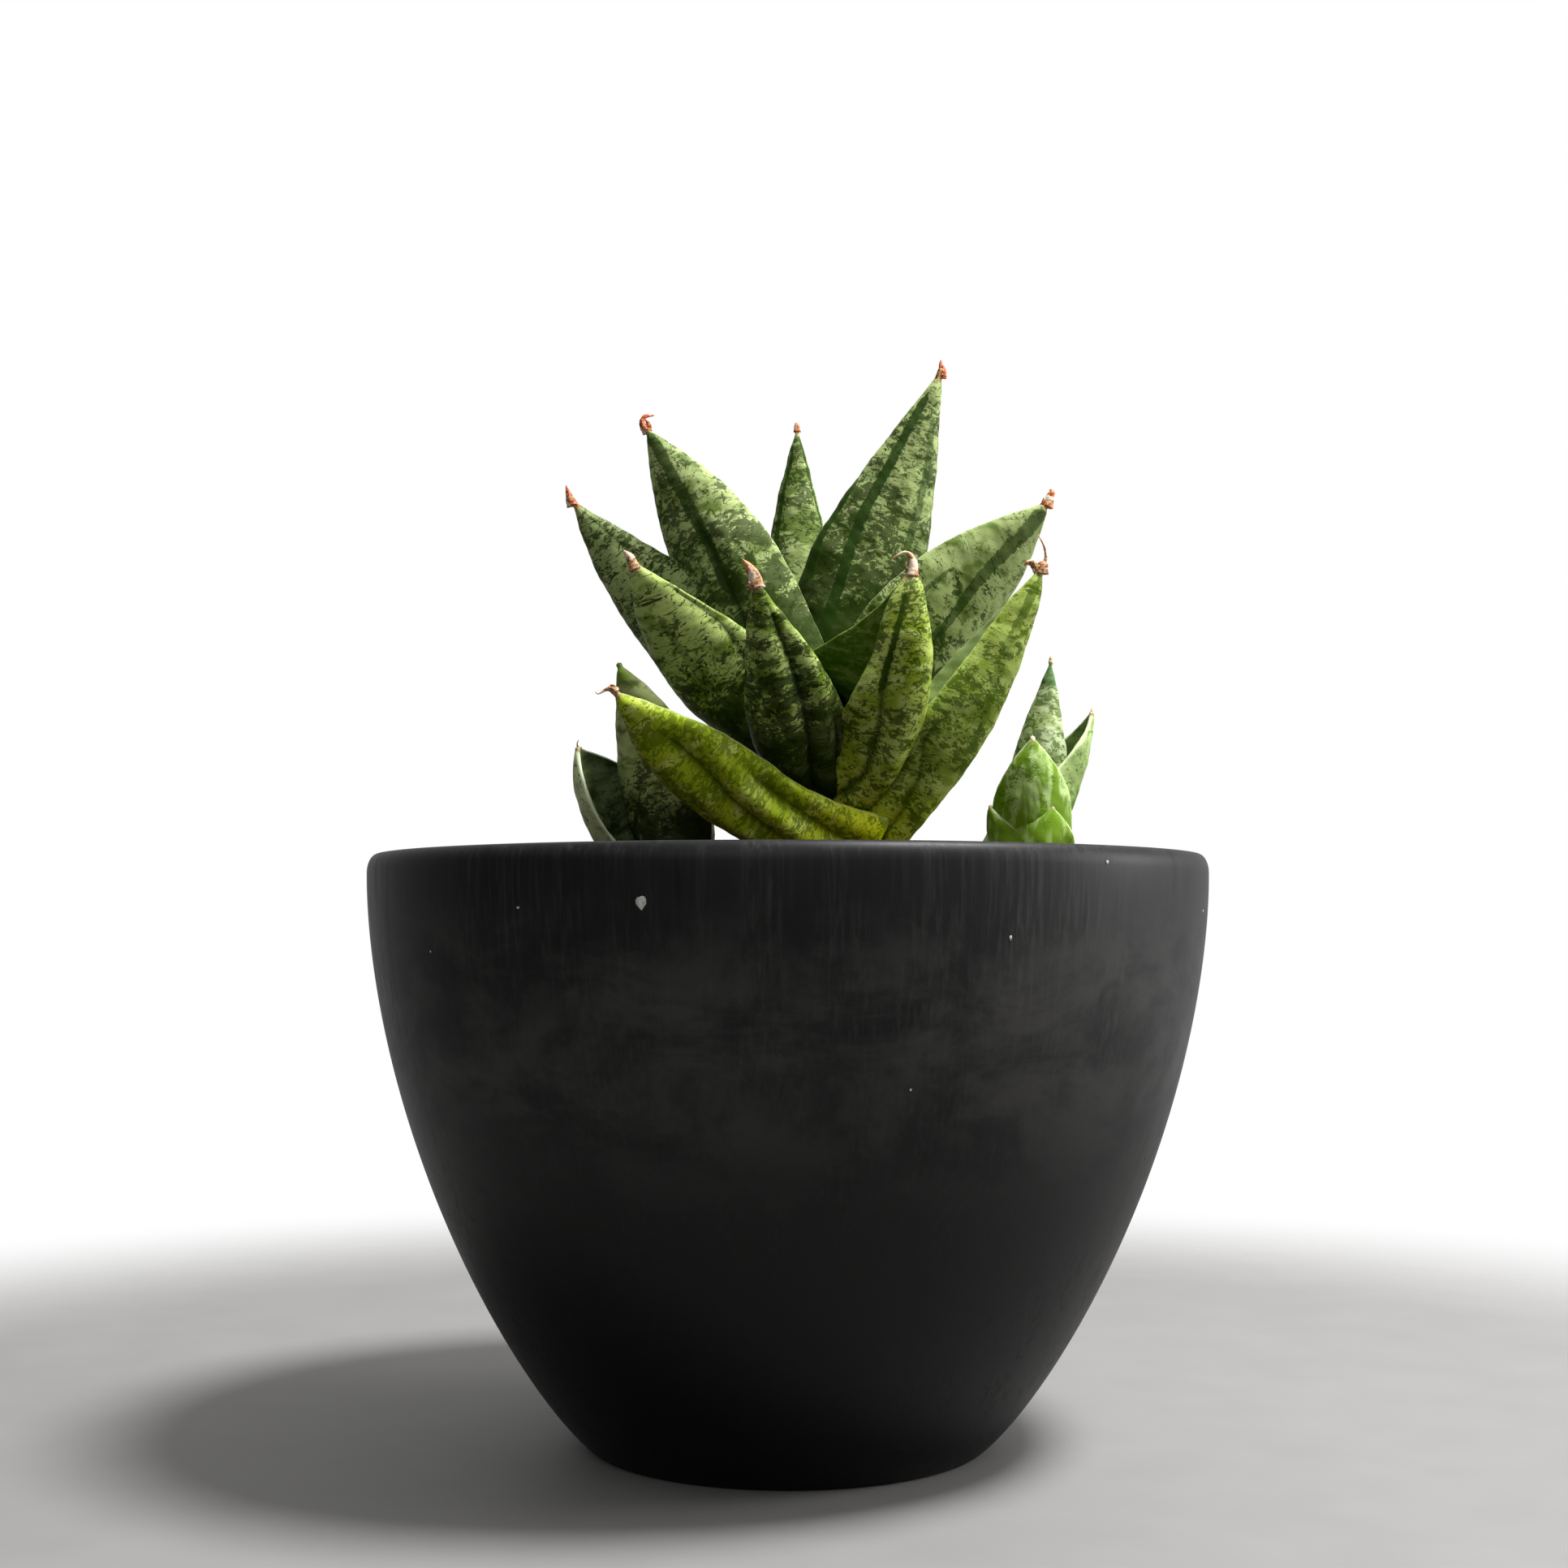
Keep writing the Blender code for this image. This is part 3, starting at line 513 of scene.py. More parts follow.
def sections(leaf, shares, angles):
    """Sideways and inward places of every surface point, by row along the leaf."""
    widths = half_widths(leaf, shares)
    slenderness = np.minimum(widths / (leaf.width / 2), 1.0)
    thickness = np.minimum(leaf.thickness * mix(THIN_SHARE, 1.0, slenderness), ROUNDEST * widths)
    depth = channel_depths(leaf, shares, widths)[:, None]
    lean = leaf.lopsided * smoothstep(shares / LEAN_STARTS_OVER)
    lean = (lean * smoothstep((1 - shares) / LEAN_ENDS_OVER))[:, None]
    across = np.cos(angles) * (1 + lean * np.cos(angles))
    outer = np.sin(angles) < 0
    offset = thickness[:, None] * np.sin(angles) * np.where(outer, OUTER_SHARE, INNER_SHARE)
    span = math.hypot(1, leaf.keel) - leaf.keel
    root = np.hypot(across, leaf.keel)
    turn = np.hypot(across, np.where(outer, leaf.keel, INNER_KEEL))
    slope = depth * across / (turn * span * widths[:, None])
    steepness = np.hypot(1, slope)
    sideways = widths[:, None] * across - offset * slope / steepness
    inwards = depth * (root - leaf.keel) / span + offset / steepness
    return sideways, inwards


def around_lengths(surface):
    """Distance in millimetres of each point round its row from the row's first point."""
    steps = np.linalg.norm(np.diff(surface, axis=1), axis=-1) / MM
    return np.concatenate([np.zeros((len(surface), 1)), np.cumsum(steps, axis=1)], axis=1)


def route_distances(route, shares, angles, around, lengths):
    """Signed distance in millimetres of every point from a route on the outer side.

    Also how far each row lies beyond the route's ends, which is 0 between them.
    """
    along, across = np.array(route).T
    wide = np.interp(shares, along, across)
    wide = np.convolve(np.pad(wide, 3, mode="edge"), np.ones(7) / 7, mode="valid")
    route_angles = 2 * np.pi - np.arccos(np.clip(wide, -1, 1))
    places = np.array([np.interp(a, angles, row) for a, row in zip(route_angles, around)])
    slant = np.gradient(places) / np.gradient(lengths)
    distance = (around - places[:, None]) / np.hypot(1, slant)[:, None]
    start, end = np.interp([along[0], along[-1]], shares, lengths)
    beyond = np.maximum(np.maximum(start - lengths, lengths - end), 0)
    return distance, beyond


def stripe_depths(stripe, shares, *rest):
    """How deep each point lies inside a stripe, in millimetres; negative outside."""
    distance, beyond = route_distances(stripe.route, shares, *rest)
    lows, highs = stripe.route[0][0], stripe.route[-1][0]
    half = np.interp(shares, [lows, highs], stripe.half_widths)
    return (half - beyond * 0.35)[:, None] - np.abs(distance)


def fold_shapes(fold, shares, *rest):
    """How far a fold pulls each point in, and how much painted shade darkens its bottom."""
    distance, beyond = route_distances(fold.route, shares, *rest)
    fade = np.exp(-(beyond / 5.0) ** 2)[:, None]
    away = np.abs(distance) / fold.reach
    pillow = PILLOW_SHARE * np.exp(-((away - PILLOW_AT) / PILLOW_WIDTH) ** 2)
    pull = fold.depth * fade * (np.exp(-away) - pillow)
    # Painted shade: the bottom of a fold is darkened, more for deeper folds
    shade = fade * np.exp(-(distance / (0.35 * fold.reach)) ** 2) * min(fold.depth, 1.4) / 1.4
    return pull, shade


def swellings(index, sideways, lengths):
    """Gentle unevenness of a living leaf, in millimetres."""
    x = sideways / MM
    y = lengths[:, None]
    waves = 0.09 * np.sin(0.45 * y + 0.30 * x + 1.7 * index)
    waves += 0.06 * np.sin(0.82 * y - 0.55 * x + 2.9 * index)
    waves += 0.035 * np.sin(1.70 * y + 1.10 * x + 4.1 * index)
    return waves


def surface_normals(surface):
    """Unit normals that point out of the leaf."""
    around = np.roll(surface, -1, axis=1) - np.roll(surface, 1, axis=1)
    along = np.gradient(surface, axis=0)
    return unit(np.cross(around, along))


def add_leaf(index, leaf, marks, material):
    length = np.linalg.norm(np.subtract(leaf.tip, leaf.base)) / MM
    coarse = 1.0 if marks.fine else FAR_STEP
    rows = int(length / (RING_STEP * coarse))
    columns = int((2.1 * leaf.width + leaf.channel * leaf.width) / MM / (SIDE_STEP * coarse))
    shares = 1 - (1 - np.linspace(0, 1, rows)) ** TIP_CROWDING
    inner_points = int(columns * INNER_POINTS_SHARE)
    inner_angles = np.linspace(0, np.pi, inner_points, endpoint=False)
    outer_angles = np.linspace(np.pi, 2 * np.pi, columns - inner_points, endpoint=False)
    angles = np.concatenate([inner_angles, outer_angles])

    points, directions = spine(leaf, shares)
    side, inward = section_axes(leaf, shares, directions)
    sideways, inwards = sections(leaf, shares, angles)
    surface = points[:, None] + side[:, None] * sideways[..., None]
    surface = surface + inward[:, None] * inwards[..., None]
    steps = np.linalg.norm(np.diff(points, axis=0), axis=1) / MM
    lengths = np.concatenate([[0], np.cumsum(steps)])
    around = around_lengths(surface)

    where = (shares, angles, around, lengths)
    pull = np.zeros_like(around)
    painted_groove_shade = np.zeros_like(around)
    outer = smoothstep(-np.sin(angles) / 0.35)
    for fold in marks.folds:
        fold_pull, fold_shade = fold_shapes(fold, *where)
        pull += fold_pull * outer
        painted_groove_shade = np.maximum(painted_groove_shade, fold_shade * outer)
    calm = smoothstep((lengths[-1] - lengths) / 8)[:, None]
    pull += swellings(index, sideways, lengths) * calm
    surface = surface - surface_normals(surface) * pull[..., None] * MM

    stripe = np.full_like(around, -9.0)
    strength = np.ones_like(around)
    for each in marks.stripes:
        depths = stripe_depths(each, *where)
        strength = np.where(depths > stripe, each.strength, strength)
        stripe = np.maximum(stripe, depths)
    stripe = np.where(np.sin(angles) < 0.05, stripe, -9.0)
    total = around[:, -1:]
    far_margin = np.array([[row[inner_points]] for row in around])
    edge = np.minimum(np.minimum(around, total - around), np.abs(around - far_margin))
    edge = edge / marks.rim_width
    inner = smoothstep(np.sin(angles) / 0.3) + np.zeros_like(around)
    share = shares[:, None] + np.zeros_like(around)
    to_tip = (lengths[-1] - lengths)[:, None] + np.zeros_like(around)
    dry = marks.dry - to_tip
    drift = np.array([0, 37.0 * index, 0])
    grain = np.stack([sideways / MM, inwards / MM, lengths[:, None] + 0 * around], axis=-1)

    tip = surface[-1].mean(axis=0) + directions[-1] * 0.4 * MM
    base = surface[0].mean(axis=0)
    vertices = np.concatenate([surface.reshape(-1, 3), [base, tip]])
    faces = grid_faces(rows, columns).tolist()
    last = (rows - 1) * columns
    for j in range(columns):
        k = (j + 1) % columns
        faces.append((rows * columns, k, j))
        faces.append((rows * columns + 1, last + j, last + k))
    obj = new_object(leaf.name + "_skin", vertices, faces, [material])

    def with_ends(values, at_base, at_tip):
        return np.concatenate([values.reshape(-1, 3), [at_base, at_tip]])

    add_vectors(obj, "grain", with_ends(grain, (0, 0, 0), (0, 0, lengths[-1])) + drift)
    marks_values = np.stack([stripe, painted_groove_shade, edge], axis=-1)
    add_vectors(obj, "marks", with_ends(marks_values, (-9, 0, 3), (-9, 0, 3)))
    place = np.stack([share, inner, dry], axis=-1)
    add_vectors(obj, "place", with_ends(place, (0, 0, -9), (1, 0, marks.dry)))
    habit = np.stack([strength, marks.cap - to_tip, marks.rim + 0 * to_tip], axis=-1)
    add_vectors(obj, "habit", with_ends(habit, (1, -9, marks.rim), (1, marks.cap, marks.rim)))
    towards_tip = smoothstep(share / PATTERN_SETTLED_AT)
    ends = (marks.dark, marks.bands, marks.pale)
    pattern = [mix(at_base, at_tip, towards_tip) for at_base, at_tip in ends]
    pattern = np.stack(pattern, axis=-1)
    add_vectors(obj, "pattern", with_ends(pattern, pattern[0, 0], pattern[-1, 0]))
    return obj


# Wisps: dry hooks and threads at the tips

def smooth_curve(points, steps):
    """A curve through the points, with even steps between each two of them."""
    points = np.asarray(points, float)
    ends = np.concatenate([[2 * points[0] - points[1]], points, [2 * points[-1] - points[-2]]])
    curve = []
    for a, b, c, d in zip(ends, ends[1:], ends[2:], ends[3:]):
        for t in np.arange(steps) / steps:
            curve.append(0.5 * (2 * b + (c - a) * t + (2 * a - 5 * b + 4 * c - d) * t**2
                                + (3 * b - a - 3 * c + d) * t**3))
    return np.array(curve + [points[-1]])


def add_wisp(name, tip, places, radii, material, seed):
    steps = 8
    sides = 14
    path = smooth_curve(np.array(places) * MM + np.array(tip), steps)
    thick = np.interp(np.linspace(0, len(radii) - 1, len(path)), range(len(radii)), radii) * MM
    directions = unit(np.gradient(path, axis=0))
    across = unit(np.cross(directions, (0.2, 1.0, 0.1)))
    above = np.cross(directions, across)
    angles = np.linspace(0, 2 * np.pi, sides, endpoint=False)
    rough = np.random.default_rng(seed)
    ridges = 1 + 0.16 * rough.uniform(-1, 1, sides) + 0.08 * rough.uniform(-1, 1, (len(path), 1))
    radius = thick[:, None] * ridges
    twist = angles + np.linspace(0, 1.2, len(path))[:, None]
    surface = path[:, None] + across[:, None] * (radius * np.cos(twist))[..., None]
    surface = surface + above[:, None] * (0.75 * radius * np.sin(twist))[..., None]
    vertices = np.concatenate([surface.reshape(-1, 3), [path[0], path[-1]]])
    faces = grid_faces(len(path), sides).tolist()
    last = (len(path) - 1) * sides
    for j in range(sides):
        k = (j + 1) % sides
        faces.append((len(vertices) - 2, k, j))
        faces.append((len(vertices) - 1, last + j, last + k))
    obj = new_object(name, vertices, faces, [material])
    share = np.repeat(np.linspace(0, 1, len(path)), sides)
    along = np.concatenate([share, [0, 1]])
    add_vectors(obj, "place", np.stack([along, 0 * along, 0 * along], axis=-1))
    return obj


# Shaders

class Shader:
    """A material, with short calls for the kinds of node used here."""

    def __init__(self, name):
        self.material = bpy.data.materials.new(name)
        self.material.use_nodes = True
        self.tree = self.material.node_tree
        self.principled = self.tree.nodes["Principled BSDF"]

    def node(self, kind, **settings):
        node = self.tree.nodes.new("ShaderNode" + kind)
        for name, value in settings.items():
            setattr(node, name, value)
        return node

    def plug(self, socket, value):
        if isinstance(value, bpy.types.NodeSocket):
            self.tree.links.new(value, socket)
        else:
            socket.default_value = value

    def attribute(self, name):
        return self.node("Attribute", attribute_name=name).outputs["Vector"]

    def parts(self, vector):
        split = self.node("SeparateXYZ")
        self.plug(split.inputs[0], vector)
        return split.outputs[0], split.outputs[1], split.outputs[2]

    def position(self):
        return self.node("NewGeometry").outputs["Position"]

    def math(self, operation, a, b=0.0, clamp=False):
        node = self.node("Math", operation=operation, use_clamp=clamp)
        self.plug(node.inputs[0], a)
        self.plug(node.inputs[1], b)
        return node.outputs[0]

    def stretch(self, vector, factors):
        node = self.node("VectorMath", operation="MULTIPLY")
        self.plug(node.inputs[0], vector)
        self.plug(node.inputs[1], factors)
        return node.outputs[0]

    def noise(self, vector, scale, detail=2.0, roughness=0.5, distortion=0.0):
        node = self.node("TexNoise")
        self.plug(node.inputs["Vector"], vector)
        self.plug(node.inputs["Scale"], scale)
        self.plug(node.inputs["Detail"], detail)
        self.plug(node.inputs["Roughness"], roughness)
        self.plug(node.inputs["Distortion"], distortion)
        return node.outputs[0]

    def rise(self, value, low, high):
        """0 below low, 1 above high and smooth between; low may be above high."""
        node = self.node("MapRange", interpolation_type="SMOOTHSTEP")
        self.plug(node.inputs["Value"], value)
        node.inputs["From Min"].default_value = min(low, high)
        node.inputs["From Max"].default_value = max(low, high)
        node.inputs["To Min"].default_value = 0.0 if low < high else 1.0
        node.inputs["To Max"].default_value = 1.0 if low < high else 0.0
        return node.outputs["Result"]

    def blend(self, share, a, b):
        node = self.node("Mix", data_type="RGBA")
        self.plug(node.inputs[0], share)
        self.plug(node.inputs[6], a)
        self.plug(node.inputs[7], b)
        return node.outputs[2]

    def finish(self, colour, roughness, height=None, strength=0.2, distance=0.0003):
        self.plug(self.principled.inputs["Base Color"], colour)
        self.plug(self.principled.inputs["Roughness"], roughness)
        if height is not None:
            bump = self.node("Bump")
            self.plug(bump.inputs["Height"], height)
            bump.inputs["Strength"].default_value = strength
            bump.inputs["Distance"].default_value = distance
            self.plug(self.principled.inputs["Normal"], bump.outputs[0])
        return self.material


def leaf_material(name, look):
    """Mottled skin: pale blotches, dark scribbles in clusters, stripes, margins, dry tip; with
    painted shade low down, in folds and on the inner face, and painted glow at the edges.
    """
    shader = Shader(name)
    grain = shader.attribute("grain")
    stripe, painted_groove_shade, edge = shader.parts(shader.attribute("marks"))
    share, inner, dry = shader.parts(shader.attribute("place"))
    dark, bands, pale = shader.parts(shader.attribute("pattern"))
    strength, cap, rim_strength = shader.parts(shader.attribute("habit"))

    flat = shader.stretch(grain, (0.62, 0.62, 1.0))
    rows = shader.stretch(grain, (0.22, 0.22, 1.0))
    cluster = shader.noise(grain, 0.16, detail=2.0, roughness=0.6)
    band = shader.noise(rows, 0.30, detail=3.0, roughness=0.55, distortion=0.9)
    patches = shader.noise(flat, 0.80, detail=4.0, roughness=0.62, distortion=0.9)
    veins = shader.noise(flat, 0.40, detail=2.5, roughness=0.5, distortion=1.8)
    broken = shader.rise(shader.noise(grain, 0.55, detail=2.0), 0.42, 0.50)

    amount = shader.math("MULTIPLY_ADD", cluster, 3.4)
    amount.node.inputs[2].default_value = -1.7
    # A high dark value low on the leaf adds dark mottle that is partly the leaf's own and partly
    # painted shade
    amount = shader.math("ADD", amount, dark)
    banded = shader.math("MULTIPLY", shader.rise(band, 0.49, 0.60), bands)
    amount = shader.math("ADD", amount, banded)
    cover = shader.math("MULTIPLY_ADD", amount, 0.17)
    cover.node.inputs[2].default_value = -0.115
    patch_mask = shader.rise(shader.math("ADD", patches, cover), 0.495, 0.535)
    patch_mask = shader.math("MULTIPLY", patch_mask, 0.86)
    vein_width = shader.math("MULTIPLY_ADD", amount, 0.020)
    vein_width.node.inputs[2].default_value = 0.010
    vein_gap = shader.math("ABSOLUTE", shader.math("SUBTRACT", veins, 0.5))
    vein_mask = shader.rise(shader.math("SUBTRACT", vein_width, vein_gap), -0.007, 0.008)
    vein_mask = shader.math("MULTIPLY", vein_mask, broken)
    cross_gap = shader.math("ABSOLUTE", shader.math("SUBTRACT", band, 0.5))
    cross_width = shader.math("MULTIPLY", bands, 0.026)
    cross_mask = shader.rise(shader.math("SUBTRACT", cross_width, cross_gap), -0.010, 0.010)
    cross_mask = shader.math("MULTIPLY", cross_mask, shader.rise(patches, 0.40, 0.50))
    dark_mask = shader.math("MAXIMUM", patch_mask, shader.math("MAXIMUM", vein_mask, cross_mask))

    blotch = shader.noise(shader.stretch(grain, look.blotch), 0.22, detail=2.5,
                          roughness=0.55, distortion=0.6)
    lift = shader.math("MULTIPLY_ADD", pale, 0.26)
    lift.node.inputs[2].default_value = -0.12
    pale_mask = shader.rise(shader.math("ADD", blotch, lift), 0.38, 0.62)

    colour = shader.blend(pale_mask, linear(look.mid), linear(look.pale))
    tint = shader.rise(shader.noise(grain, 0.07), 0.35, 0.65)
    colour = shader.blend(shader.math("MULTIPLY", tint, 0.25), colour, linear(look.mid))
    # Towards the base the colour runs to the foot colour. On the grey, fresh and pup looks this is
    # a deeper green, partly painted shade. On the olive and old looks it is a yellowed base.
    foot = shader.math("MULTIPLY", shader.rise(share, 0.42, 0.05), 0.85)
    colour = shader.blend(foot, colour, linear(look.foot))
    colour = shader.blend(shader.math("MULTIPLY", dark_mask, 0.92), colour, linear(look.dark))

    ragged = shader.math("MULTIPLY_ADD", shader.noise(grain, 0.8, detail=3.0), 1.1)
    ragged.node.inputs[2].default_value = -0.55
    stripe_mask = shader.rise(shader.math("ADD", stripe, ragged), -0.10, 0.15)
    stripe_mask = shader.math("MULTIPLY", stripe_mask, shader.math("MULTIPLY", strength, 0.94))
    colour = shader.blend(stripe_mask, colour, linear(look.stripe))
    cap_mask = shader.math("MULTIPLY", shader.rise(cap, 0.2, 2.6), 0.85)
    colour = shader.blend(cap_mask, colour, linear(look.stripe))

    # The inner face runs to the inner green, partly the leaf's own colour and partly painted shade
    # in the channel
    inner_share = shader.math("MULTIPLY_ADD", blotch, -0.7)
    inner_share.node.inputs[2].default_value = 1.2
    inner_mask = shader.math("MULTIPLY", inner, inner_share)
    colour = shader.blend(inner_mask, colour, linear(look.inner))
    # Pale margins: partly the leaf's own edge line, partly painted glow of light through the edges
    uneven = shader.math("MULTIPLY_ADD", shader.noise(grain, 0.5), 0.9)
    uneven.node.inputs[2].default_value = -0.45
    rim = shader.rise(shader.math("ADD", edge, uneven), 0.75, 0.35)
    rim = shader.math("MULTIPLY", rim, rim_strength)
    colour = shader.blend(rim, colour, linear(look.margin))
    # Painted shade in the bottoms of the folds, towards the dark green
    colour = shader.blend(shader.math("MULTIPLY", painted_groove_shade, 0.85), colour, linear(look.dark))

    frayed = shader.math("MULTIPLY_ADD", shader.noise(grain, 1.4, detail=4.0), 2.4)
    frayed.node.inputs[2].default_value = -1.2
    dry_edge = shader.math("ADD", dry, frayed)
    husk = shader.noise(shader.stretch(grain, (2.0, 2.0, 0.5)), 1.2, detail=4.0)
    brown, straw = look.husk
    husk_colour = shader.blend(shader.rise(husk, 0.38, 0.62), linear(brown), linear(straw))
    colour = shader.blend(shader.rise(dry_edge, -0.9, 0.0), colour, linear((150, 146, 96)))
    colour = shader.blend(shader.rise(dry_edge, 0.0, 0.5), colour, husk_colour)

    pores = shader.noise(grain, 5.0, detail=3.0)
    relief = shader.math("SUBTRACT", pores, shader.math("MULTIPLY", dark_mask, 0.5))
    roughness = shader.math("MULTIPLY_ADD", pores, 0.25)
    roughness.node.inputs[2].default_value = 0.40
    shader.principled.inputs["Specular IOR Level"].default_value = 0.08
    return shader.finish(colour, roughness, relief, strength=0.12)


def husk_material(name, brown, straw, end):
    """Dry tips: brown and straw-coloured fibres, pale patches and a redder end."""
    shader = Shader(name)
    share, _, _ = shader.parts(shader.attribute("place"))
    fibre = shader.noise(shader.position(), 1400.0, detail=4.0)
    patch = shader.noise(shader.position(), 420.0, detail=2.0)
    colour = shader.blend(shader.rise(fibre, 0.38, 0.62), linear(brown), linear(straw))
    ends = shader.math("MULTIPLY", shader.rise(share, 0.35, 0.95), 0.7)
    colour = shader.blend(ends, colour, linear(end))
    colour = shader.blend(shader.rise(patch, 0.54, 0.64), colour, linear((222, 202, 176)))
    return shader.finish(colour, 0.62, fibre, strength=0.5)


def planter_material():
    """Charcoal plastic: fine upright marks, a smudged belt, and painted shade darkening it towards
    the foot.
    """
    shader = Shader("planter_charcoal")
    place = shader.position()
    upright = shader.stretch(place, (1.0, 1.0, 0.035))
    fine = shader.noise(upright, 900.0, detail=4.0, roughness=0.65)
    broad = shader.noise(upright, 140.0, detail=3.0)
    scuffs = shader.noise(shader.stretch(place, (1.0, 1.0, 1.7)), 34.0, detail=7.0,
                          roughness=0.66, distortion=0.4)
    streak = shader.math("MULTIPLY", shader.rise(fine, 0.42, 0.72), shader.rise(broad, 0.3, 0.7))
    colour = shader.blend(streak, linear((22, 22, 22)), linear((45, 44, 43)))
    _, _, height = shader.parts(place)
    belt = shader.math("MULTIPLY", shader.rise(height, 0.055, 0.090),
                       shader.rise(height, 0.134, 0.108))
    smudge = shader.math("MULTIPLY", belt, shader.rise(scuffs, 0.36, 0.66))
    colour = shader.blend(shader.math("MULTIPLY", smudge, 0.75), colour, linear((60, 59, 58)))
    drips = shader.noise(shader.stretch(place, (1.0, 1.0, 0.12)), 330.0, detail=2.0)
    drips = shader.math("MULTIPLY", shader.rise(drips, 0.64, 0.72),
                        shader.rise(height, 0.112, 0.132))
    colour = shader.blend(shader.math("MULTIPLY", drips, 0.6), colour, linear((8, 8, 8)))
    # Painted shade: the colour darkens towards the bottom of the planter
    low = shader.math("MULTIPLY", shader.rise(height, 0.115, 0.03), 0.95)
    colour = shader.blend(low, colour, linear((1, 1, 1)))
    roughness = shader.math("MULTIPLY_ADD", streak, 0.14)
    roughness.node.inputs[2].default_value = 0.46
    shader.principled.inputs["Specular IOR Level"].default_value = 0.18
    return shader.finish(colour, roughness, fine, strength=0.12, distance=0.0002)


def soil_material(name, dark, light, rough_scale):
    shader = Shader(name)
    clumps = shader.noise(shader.position(), rough_scale, detail=6.0, roughness=0.7)
    colour = shader.blend(shader.rise(clumps, 0.35, 0.7), linear(dark), linear(light))
    return shader.finish(colour, 0.92, clumps, strength=0.6, distance=0.0006)


def stem_material():
    shader = Shader("stem_skin")
    along = shader.stretch(shader.position(), (1.0, 1.0, 0.3))
    fibre = shader.noise(along, 900.0, detail=4.0)
    blotch = shader.noise(shader.position(), 160.0, detail=3.0)
    colour = shader.blend(shader.rise(fibre, 0.35, 0.65), linear((112, 112, 40)),
                          linear((150, 148, 66)))
    colour = shader.blend(shader.rise(blotch, 0.5, 0.65), colour, linear((110, 84, 48)))
    return shader.finish(colour, 0.5, fibre, strength=0.3)


# Planter, potting mix and stems

def outer_radius(z):
    share = min(max(z, 0.0) / LIP_BOTTOM, 1.0)
    belly = (1 - (1 - share) ** BELLY_POWER) ** BELLY_SHARPNESS
    return FOOT_RADIUS + (PLANTER_RADIUS - FOOT_RADIUS) * belly


def inner_radius(z):
    step = 0.0005
    slope = (outer_radius(z + step) - outer_radius(z - step)) / (2 * step)
    return outer_radius(z) - WALL * math.hypot(1, slope)


def planter_profile():
    """Down the outside from the lip, and up the inside, with a soft ridge under the lip."""
    profile = []
    for angle in np.linspace(0, np.pi / 2, 9):
        width = PLANTER_RADIUS - LIP_TOP_RADIUS
        drop = PLANTER_HEIGHT - LIP_BOTTOM
        profile.append((LIP_TOP_RADIUS + width * math.sin(angle),
                        LIP_BOTTOM + drop * math.cos(angle)))
    ridge = 0.00018
    for share in np.linspace(1, 0, 90)[1:] ** 1.3:
        z = LIP_BOTTOM * share
        bead = ridge * math.exp(-(((LIP_BOTTOM - z) / 0.0011) ** 2))
        profile.append((outer_radius(z) - bead, z))
    foot_round = [(FOOT_RADIUS - 0.0012, 0.0)]
    profile[-1] = (FOOT_RADIUS, 0.0006)
    inside = [(inner_radius(z), z) for z in np.linspace(FLOOR, LIP_BOTTOM, 40)]
    inner_lip = [(LIP_TOP_RADIUS - 0.0025, PLANTER_HEIGHT - 0.0012),
                 (LIP_TOP_RADIUS - 0.0012, PLANTER_HEIGHT - 0.0003)]
    return profile + foot_round + [(0.001, 0.0)] + [(0.001, FLOOR)] + inside + inner_lip


def turned_points(profile, steps):
    angles = np.linspace(0, 2 * np.pi, steps, endpoint=False)
    radius, height = np.array(profile).T
    x = radius[:, None] * np.cos(angles)
    y = radius[:, None] * np.sin(angles)
    z = height[:, None] + 0 * angles
    return np.stack([x, y, z], axis=-1)


def add_planter(material):
    surface = turned_points(planter_profile(), ROUND_STEPS)
    rows = len(surface)
    faces = grid_faces(rows, ROUND_STEPS).tolist()
    for j in range(ROUND_STEPS):
        k = (j + 1) % ROUND_STEPS
        faces.append(((rows - 1) * ROUND_STEPS + j, (rows - 1) * ROUND_STEPS + k, k, j))
    obj = new_object("planter_shell", surface.reshape(-1, 3), faces, [material])
    return place_piece(obj, "planter", "planter")


def on_planter(angle, z, lift):
    radius = outer_radius(z) + lift
    return radius * math.cos(angle), radius * math.sin(angle), z


def add_flecks(material):
    """Thin chips of lime that stick to the outside of the planter."""
    vertices, faces = [], []
    sides = len(FLECK_OUTLINE)
    for degrees, z, half_width, half_height in FLECKS:
        first = len(vertices)
        middle = math.radians(degrees)
        for x, y in FLECK_OUTLINE:
            angle = middle + x * half_width / PLANTER_RADIUS
            vertices.append(on_planter(angle, z + y * half_height, 0.3 * FLECK_RISE))
        vertices.append(on_planter(middle, z, FLECK_RISE))
        vertices.append(on_planter(middle, z, -FLECK_RISE))
        for j in range(sides):
            k = (j + 1) % sides
            faces.append((first + sides, first + j, first + k))
            faces.append((first + sides + 1, first + k, first + j))
    obj = new_object("lime_flecks", vertices, faces, [material], smooth=False)
    return place_piece(obj, "planter")


def soil_height(x, y):
    """Height of the potting mix: low mounds and coarse lumps."""
    place = Vector((x, y, 0.0))
    lumps = 0.0014 * noise.noise(place * 45) + 0.0008 * noise.noise(place * 160)
    return SOIL_TOP - 0.0012 + lumps


